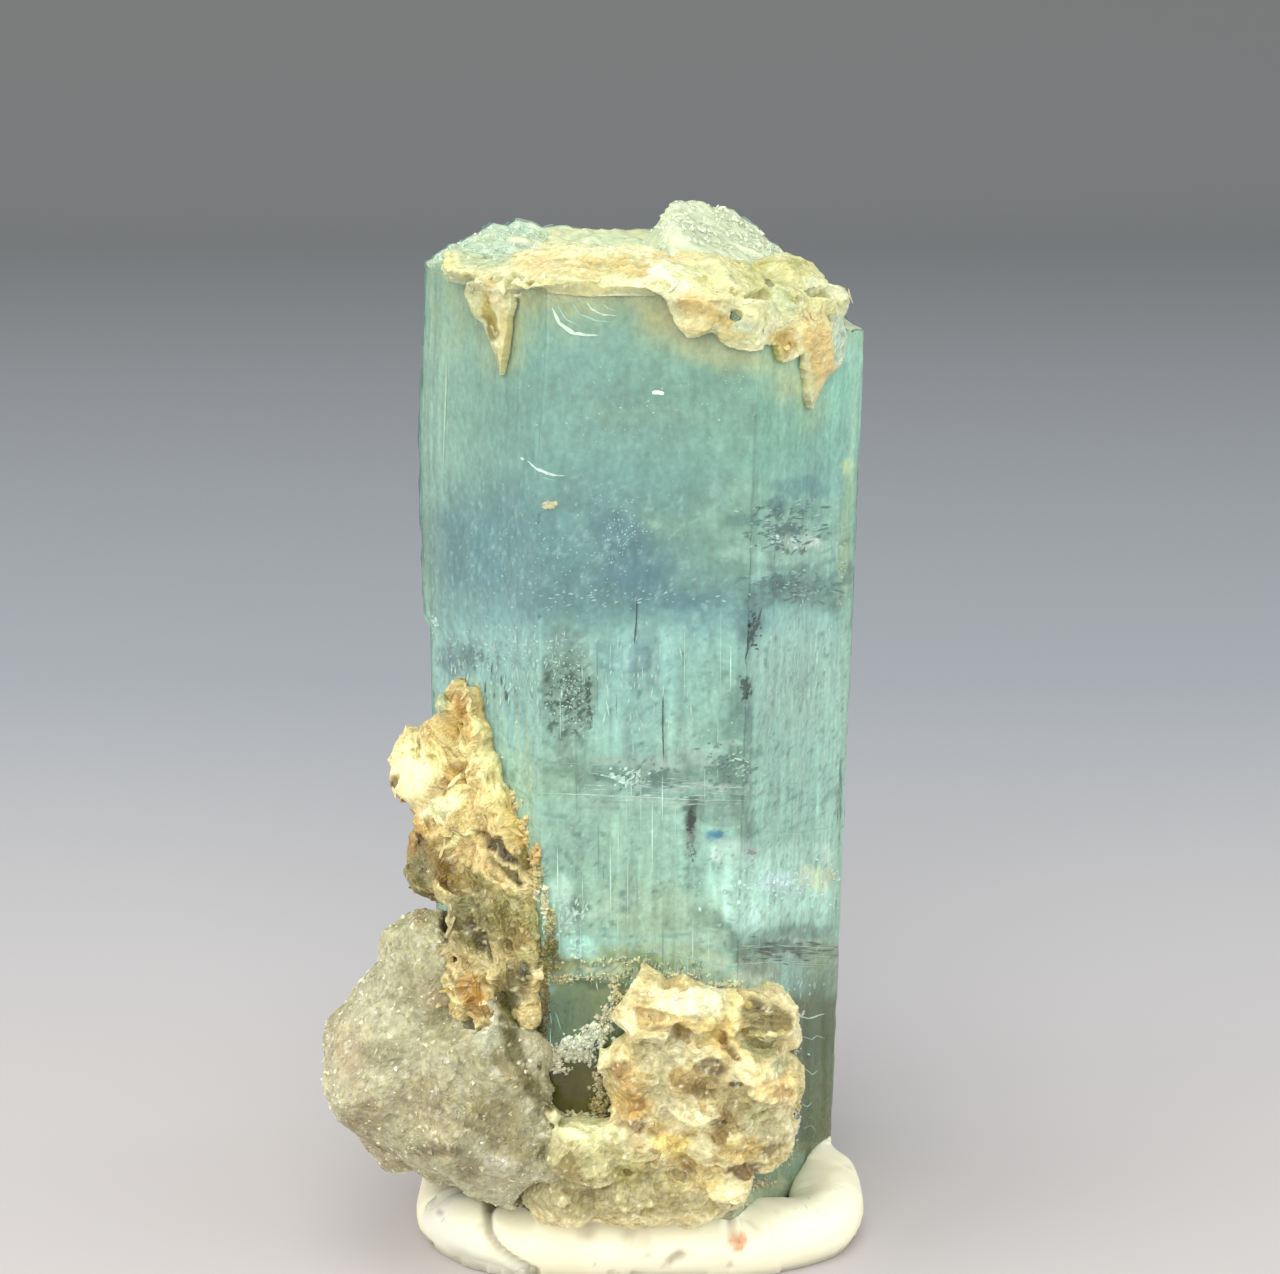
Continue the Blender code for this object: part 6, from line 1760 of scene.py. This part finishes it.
def sweep(verts, faces, shade_in_creases, path, radii, closed, sides=40):
    """Sweep a hand-rolled strand along path, pressed flat on the ground."""
    count, first = len(path), len(verts)
    for i, (point, radius) in enumerate(zip(path, radii)):
        before = path[(i - 1) % count] if closed or i else point
        after = path[(i + 1) % count] if closed or i < count - 1 else point
        across = (after - before).normalized().cross(Vector((0, 0, 1))).normalized()
        for k in range(sides):
            angle = math.tau * (k + 0.5) / sides
            spot = point + radius * (math.cos(angle) * across + math.sin(angle) * Vector((0, 0, 1)))
            out = (spot - point).normalized()
            dent = 0.07 * noise.noise(spot * 0.55) + 0.03 * noise.noise(spot * 1.7) + 0.01 * noise.noise(spot * 5.0)
            pit = max(0.0, noise.noise(spot * 1.25 + Vector((9, 4, 2))) - 0.48)
            crack = max(0.0, 1.0 - abs(noise.noise(Vector((spot.x * 0.9, spot.y * 0.9, spot.z * 2.4)))) / 0.018)
            crack *= smooth(noise.noise(spot * 0.7 + Vector((3, 3, 3))), 0.15, 0.4)
            lap, groove_shade = seam_relief(spot)
            spot += out * (dent - 0.5 * pit - 0.05 * crack + lap)
            verts.append((spot.x, spot.y, spot.z if spot.z > 0.35 else max(0.0, spot.z * 0.2)))
            # painted shade: darker in pits, cracks and the lap's groove, and low down where the strand meets the floor
            shade_in_creases.append(min(0.8, 1.3 * pit + 0.4 * crack + 0.45 * groove_shade + 0.4 * smooth(-spot.z, -0.5, -0.1)))
    for i in range(count if closed else count - 1):
        a, b = first + i * sides, first + (i + 1) % count * sides
        for k in range(sides):
            j = (k + 1) % sides
            faces.append((a + k, a + j, b + j, b + k))
    if not closed:
        faces.append(tuple(first + k for k in reversed(range(sides))))
        faces.append(tuple(first + (count - 1) * sides + k for k in range(sides)))


# the lap's seam across the front left of the strand: x, z
SEAM = ((-6.15, 2.6), (-6.05, 1.9), (-5.7, 1.35), (-5.1, 0.85), (-4.2, 0.35))


def seam_relief(spot):
    """How the lapped end shows: raised on its left, a groove along its edge; returns lift and the groove's painted
    shade.
    """
    if spot.y > -3.0 or not -8.5 < spot.x < -3.0:
        return 0.0, 0.0
    nearest, side = 9.0, 1.0
    here = Vector((spot.x, spot.z))
    for a, b in zip(SEAM, SEAM[1:]):
        start, run = Vector(a), Vector(b) - Vector(a)
        t = min(1.0, max(0.0, (here - start).dot(run) / run.length_squared))
        away = here - start - run * t
        if away.length < nearest:
            nearest, side = away.length, run.x * away.y - run.y * away.x
    groove_depth = 1.0 - smooth(nearest, 0.03, 0.24)
    lap = (1.0 - smooth(nearest, 0.2, 1.8)) if side < 0 else 0.0
    return 0.13 * lap - 0.26 * groove_depth, groove_depth


def press_against(points, host):
    """Push the putty's near side up against the crystal."""
    for i, row in enumerate(points):
        where = (Vector(row) + AXIS) * MM
        place, _, _, distance = host.find_nearest(where)
        if row[2] > 0.5 and distance < 1.3 * MM:
            pull = (1.0 - smooth(distance / MM, 0.45, 1.3)) * smooth(row[2], 0.5, 1.4)
            points[i] = row + (np.array(place) / MM - np.array(AXIS) - row) * pull


def build_putty():
    """The ring of putty, its tapered end lapped over its front left."""
    verts, faces, shade_in_creases = [], [], []
    path = [ring_point(math.tau * i / 480) for i in range(480)]
    radii = [STRAND_RADIUS * (0.985 + 0.04 * noise.noise(p * 0.31)) for p in path]
    sweep(verts, faces, shade_in_creases, path, radii, True)
    tail, tail_radii = [], []
    for i in range(60):
        t = i / 59
        spot = ring_point(math.radians(196 + 48 * t))
        radius = STRAND_RADIUS * (0.90 - 0.62 * t ** 1.3)
        tail.append(Vector((spot.x, spot.y - 0.58 * math.sin(0.5 * math.pi * t), radius * 0.95 + 0.25 * (1 - t))))
        tail_radii.append(radius * (1.0 if t < 0.97 else 0.7))
    sweep(verts, faces, shade_in_creases, tail, tail_radii, False)
    points = np.array(verts)
    low = (np.array(CAD_BOX[0]) / MM - np.array(AXIS)) + 0.01
    high = (np.array(CAD_BOX[1]) / MM - np.array(AXIS)) - 0.01
    low[2] = 0.0
    points = np.clip(points, low, high)
    press_against(points, bvh_of("aquamarine_crystal"))
    obj = from_lists("putty_strand", points, faces)
    store(obj.data, "crease_shade", shade_in_creases)
    fleck = np.linalg.norm((points - np.array((3.9, -7.15, 1.75))) * (1.0, 1.0, 0.8), axis=1)
    store(obj.data, "fleck", 1.0 - rise(fleck + 0.08 * clouds(points, 0.3, 71), 0.34, 0.46))
    obj.data.shade_smooth()
    return finish_piece(obj, putty_material(), "putty", "putty_ring")


# ------------------------------------------------------------------ stage, light, camera


def build_stage():
    """A pale floor that sweeps up into a backdrop, painted darker towards the top for the light falling off."""
    bm = bmesh.new()
    profile = [(-400.0, 0.0)]
    bend, wall = 90.0, 330.0
    for k in range(17):
        angle = math.radians(90 * k / 16)
        profile.append((wall - bend + bend * math.sin(angle), bend - bend * math.cos(angle)))
    profile.append((wall, 420.0))
    rows = [[bm.verts.new((x, y, z)) for y, z in profile] for x in (-600.0, 600.0)]
    for k in range(len(profile) - 1):
        bm.faces.new((rows[0][k], rows[1][k], rows[1][k + 1], rows[0][k + 1]))
    obj = to_object("studio_floor", bm, smooth_angle=60)
    material, tree, shader = new_material("pale_paper")
    coords = object_coordinates(tree)
    split = tree.nodes.new("ShaderNodeSeparateXYZ")
    tree.links.new(coords, split.inputs[0])
    back = math_node(tree, "DIVIDE", split.outputs["Y"], 330.0)
    # painted shade: the paper darkens from the front of the floor to the top of the backdrop
    colour = ramp(tree, back, [(0.02, (0.50, 0.47, 0.46)), (0.22, (0.31, 0.325, 0.345)), (1.0, (0.15, 0.147, 0.14))])
    tree.links.new(colour, shader.inputs["Base Color"])
    shader.inputs["Roughness"].default_value = 0.85
    obj.data.materials.append(material)


def area_light(name, place, target, size, power, colour):
    """A soft rectangular lamp aimed at target."""
    lamp = bpy.data.lights.new(name, "AREA")
    lamp.shape = "RECTANGLE"
    lamp.size, lamp.size_y = size
    lamp.energy = power
    lamp.color = colour
    obj = bpy.data.objects.new(name, lamp)
    obj.location = Vector(place) * MM
    obj.rotation_euler = (Vector(target) - Vector(place)).to_track_quat("-Z", "Y").to_euler()
    bpy.context.scene.collection.objects.link(obj)


def build_light():
    """Soft light all round, a broad lamp above and a weaker one at the front left."""
    world = bpy.data.worlds.new("studio")
    bpy.context.scene.world = world
    world.use_nodes = True
    sky = world.node_tree.nodes["Background"]
    sky.inputs["Color"].default_value = (0.80, 0.86, 0.92, 1.0)
    sky.inputs["Strength"].default_value = 0.8
    area_light("overhead", (-60, -70, 260), (0, 0, 20), (0.24, 0.20), 0.45, (1.0, 0.97, 0.92))
    area_light("front", (-40, -330, 170), (0, 0, 15), (0.36, 0.26), 0.75, (1.0, 0.98, 0.95))
    area_light("left", (-330, -90, 150), (0, 0, 15), (0.30, 0.24), 0.55, (1.0, 0.98, 0.95))
    area_light("right", (330, -60, 150), (0, 0, 15), (0.30, 0.24), 0.55, (0.97, 0.98, 1.0))


def build_camera():
    """The view from a little above, 115 mm in front."""
    data = bpy.data.cameras.new("view")
    data.sensor_width = 36.0
    data.lens = 84.4
    data.clip_start = 0.005
    obj = bpy.data.objects.new("view", data)
    obj.location = (Vector((0.0, -EYE_DISTANCE, EYE_HEIGHT)) + AXIS) * MM
    obj.rotation_euler = (math.radians(90 - 17), 0.0, 0.0)
    bpy.context.scene.collection.objects.link(obj)
    bpy.context.scene.camera = obj


# ------------------------------------------------------------------ the whole specimen

def taper_drips(obj):
    """Draw the two drips of the upper crust down to points."""
    for vert in obj.data.vertices:
        x, y, z = vert.co / MM - AXIS
        for middle, left, right, tip, root in ((-5.25, -7.0, -4.2, 36.2, 38.8), (6.6, 5.8, 7.6, 34.8, 36.4)):
            if left < x < right and z < root:
                slim = 0.16 + 0.84 * smooth(z, tip, root)
                vert.co.x = (middle + (x - middle) * slim + AXIS.x) * MM
        face = front_y(x, z)
        if y < face and z < 40.4:
            vert.co.y = min(vert.co.y + 0.45 * (face - y) * MM * (1.0 - smooth(z, 39.4, 40.4)), (face + AXIS.y) * MM)
        if x < -7.4:
            vert.co.x = (-7.4 + 0.25 * (x + 7.4) + AXIS.x) * MM
    obj.data.update()


BOOK_FLOW = Vector((0.62, -0.3, -0.72))
ALBITE_LOOK = {
    "tones": ((194, 188, 148), (220, 215, 180)), "strokes": ALBITE_STROKES, "gain": (0.63, 0.625, 0.59), "seed": 3,
    "layers": ((1.9, 0.04), (0.8, 0.09), (0.38, 0.17), (0.2, 0.24)), "crevice_shade": (0.74, 0.73, 0.58), "mottle": 0.16,
    "flow": Vector((0.7, 0.0, -0.7)), "swirl": 0.8, "fibres": ((0.6, 1.6, 0.015), (0.3, 0.9, 0.01)), "streak": 0.05,
    "sugar": (248, 246, 226), "glint": 0.65,
}
CRUST_LOOK = {
    "tones": ((204, 186, 134), (230, 218, 176)), "strokes": CRUST_STROKES, "gain": (0.91, 0.93, 0.87), "seed": 8,
    "layers": ((1.2, 0.10), (0.55, 0.16), (0.26, 0.2), (0.16, 0.2)), "crevice_shade": (0.78, 0.68, 0.50), "mottle": 0.12,
    "flow": Vector((0.8, 0.0, -0.4)), "swirl": 0.9, "fibres": ((0.5, 1.3, 0.03), (0.22, 0.8, 0.015)), "streak": 0.06,
    "sugar": (250, 244, 212), "glint": 0.6,
}
CREST_LOOK = {
    "tones": ((228, 214, 156), (246, 238, 196)), "strokes": CREST_STROKES, "gain": (0.70, 0.77, 0.73), "seed": 12,
    "layers": ((0.9, 0.08), (0.42, 0.13), (0.22, 0.2)), "crevice_shade": (0.86, 0.78, 0.58), "mottle": 0.09,
    "flow": Vector((1.0, 0.2, -0.1)), "swirl": 0.9, "fibres": ((0.5, 1.4, 0.015), (0.22, 0.8, 0.015)), "streak": 0.05,
    "smooth": ((-5.2, 38.0, 1.0, 1.6), (6.6, 35.8, 0.8, 1.2)), "sugar": (255, 250, 222), "glint": 0.55,
}
MICA_LOOK = {
    "tones": ((206, 176, 122), (230, 208, 158)), "strokes": MICA_STROKES, "gain": (0.86, 0.94, 0.84), "seed": 15,
    "layers": ((0.9, 0.07), (0.45, 0.14), (0.24, 0.18)), "crevice_shade": (0.66, 0.56, 0.36), "mottle": 0.08,
    "flow": BOOK_FLOW, "swirl": 1.1, "fibres": ((0.5, 2.2, 0.03), (0.22, 1.3, 0.025), (0.14, 0.9, 0.015)), "streak": 0.12,
    "smooth": ((-9.3, 20.8, 1.2, 1.3), (-9.1, 16.3, 0.8, 1.3)), "sugar": (252, 240, 200), "glint": 0.5,
}


def build_rocks(host):
    """The four pieces of matrix, each with its own grain and flakes."""
    albite = remeshed("sugary_albite", "albite_lump", 0.098, 26, None, ALBITE_LUMPS)
    dress_rock(albite, host, ALBITE_LOOK)
    finish_piece(albite, stone_material("albite_sugar", 0.36, 0.6, (1.0, 0.92, 0.74), 3.6, 0.14),
                 "albite", "albite_lump")
    build_sugar(albite, crystal_sugar_material())

    crust = remeshed("matrix_rind", "front_matrix_crust", 0.08, 8, BARE_WINDOW)
    dress_rock(crust, host, CRUST_LOOK)
    finish_piece(crust, stone_material("matrix_mix", 0.40, 0.4, (1.0, 0.88, 0.6), 4.5, 0.14),
                 "matrix_crust", "front_matrix_crust")
    thin = scatter_flakes("matrix_flakes", crust, 170, 4, Vector((0.2, -0.45, 0.87)), (0.3, 1.0, 0.2),
                          (0.06, 0.22, 1.6), 0.02, lambda c, n: n.y < 0.3 and c.x > -1.6, Vector((1.0, 0.0, -0.3)))
    finish_piece(thin, flake_material("matrix_mica"), "matrix_crust", "front_matrix_crust")

    top = remeshed("crest_crust", "top_mica_crust", 0.082, 7, BARE_TOP)
    taper_drips(top)
    dress_rock(top, host, CREST_LOOK)
    finish_piece(top, stone_material("crest_mix", 0.36, 0.55, (1.0, 0.92, 0.68), 5.0, 0.10),
                 "pale_crust", "top_mica_crust")
    crest = scatter_flakes("crest_flakes", top, 200, 9, Vector((0.0, -0.3, 0.95)), (0.2, 1.0, 0.2),
                           (0.06, 0.22, 1.8), 0.02, lambda c, n: True, Vector((1.0, 0.0, 0.0)))
    finish_piece(crest, flake_material("crest_mica"), "pale_crust", "top_mica_crust")

    mica = remeshed("mica_root", "left_mica_cluster", 0.085, 8, None, MICA_LUMPS)
    dress_rock(mica, host, MICA_LOOK)
    finish_piece(mica, stone_material("mica_ground", 0.34, 0.3, (1.0, 0.84, 0.5), 4.0, 0.12),
                 "golden_mica", "left_mica_cluster")
    books = scatter_flakes("mica_flakes", mica, 700, 14, BOOK_NORMAL, (0.25, 1.0, 0.14),
                           (0.05, 0.24, 2.4), 0.018, lambda c, n: math.hypot((c.x + 9.3) / 1.3, (c.z - 20.8) / 1.5) > 1.0,
                           BOOK_FLOW)
    finish_piece(books, flake_material("golden_flakes"), "golden_mica", "left_mica_cluster")


def main():
    """Set the stage and build every piece."""
    build_camera()
    build_light()
    build_stage()
    bpy.context.scene.view_settings.view_transform = "Standard"
    crystal = build_crystal()
    crystal.visible_shadow = False
    finish_piece(crystal, beryl_material(), "aquamarine", "aquamarine_crystal")
    haze, glints = veil_material(), sliver_material()
    build_veil("front_haze", 0.10, (5, 0, 1), 1.5, 40.6, 0.106, paint_front, haze)
    build_veil("rear_haze", 0.10, (2, 3, 4), 1.5, 40.6, 0.25, paint_back, haze)
    build_veil("deep_haze", 3.3, (0, 1, 2, 3, 4, 5), 2.6, 38.2, 0.5, paint_deep, haze)
    build_cap_veil(haze)
    build_slivers(glints)
    build_crumbs(stone_material("crumb_mix", 0.4, 0.3, (1.0, 0.8, 0.45), 5.0, 0.16))
    build_needles(glints)
    build_rocks(bvh_of("aquamarine_crystal"))
    build_putty()


main()
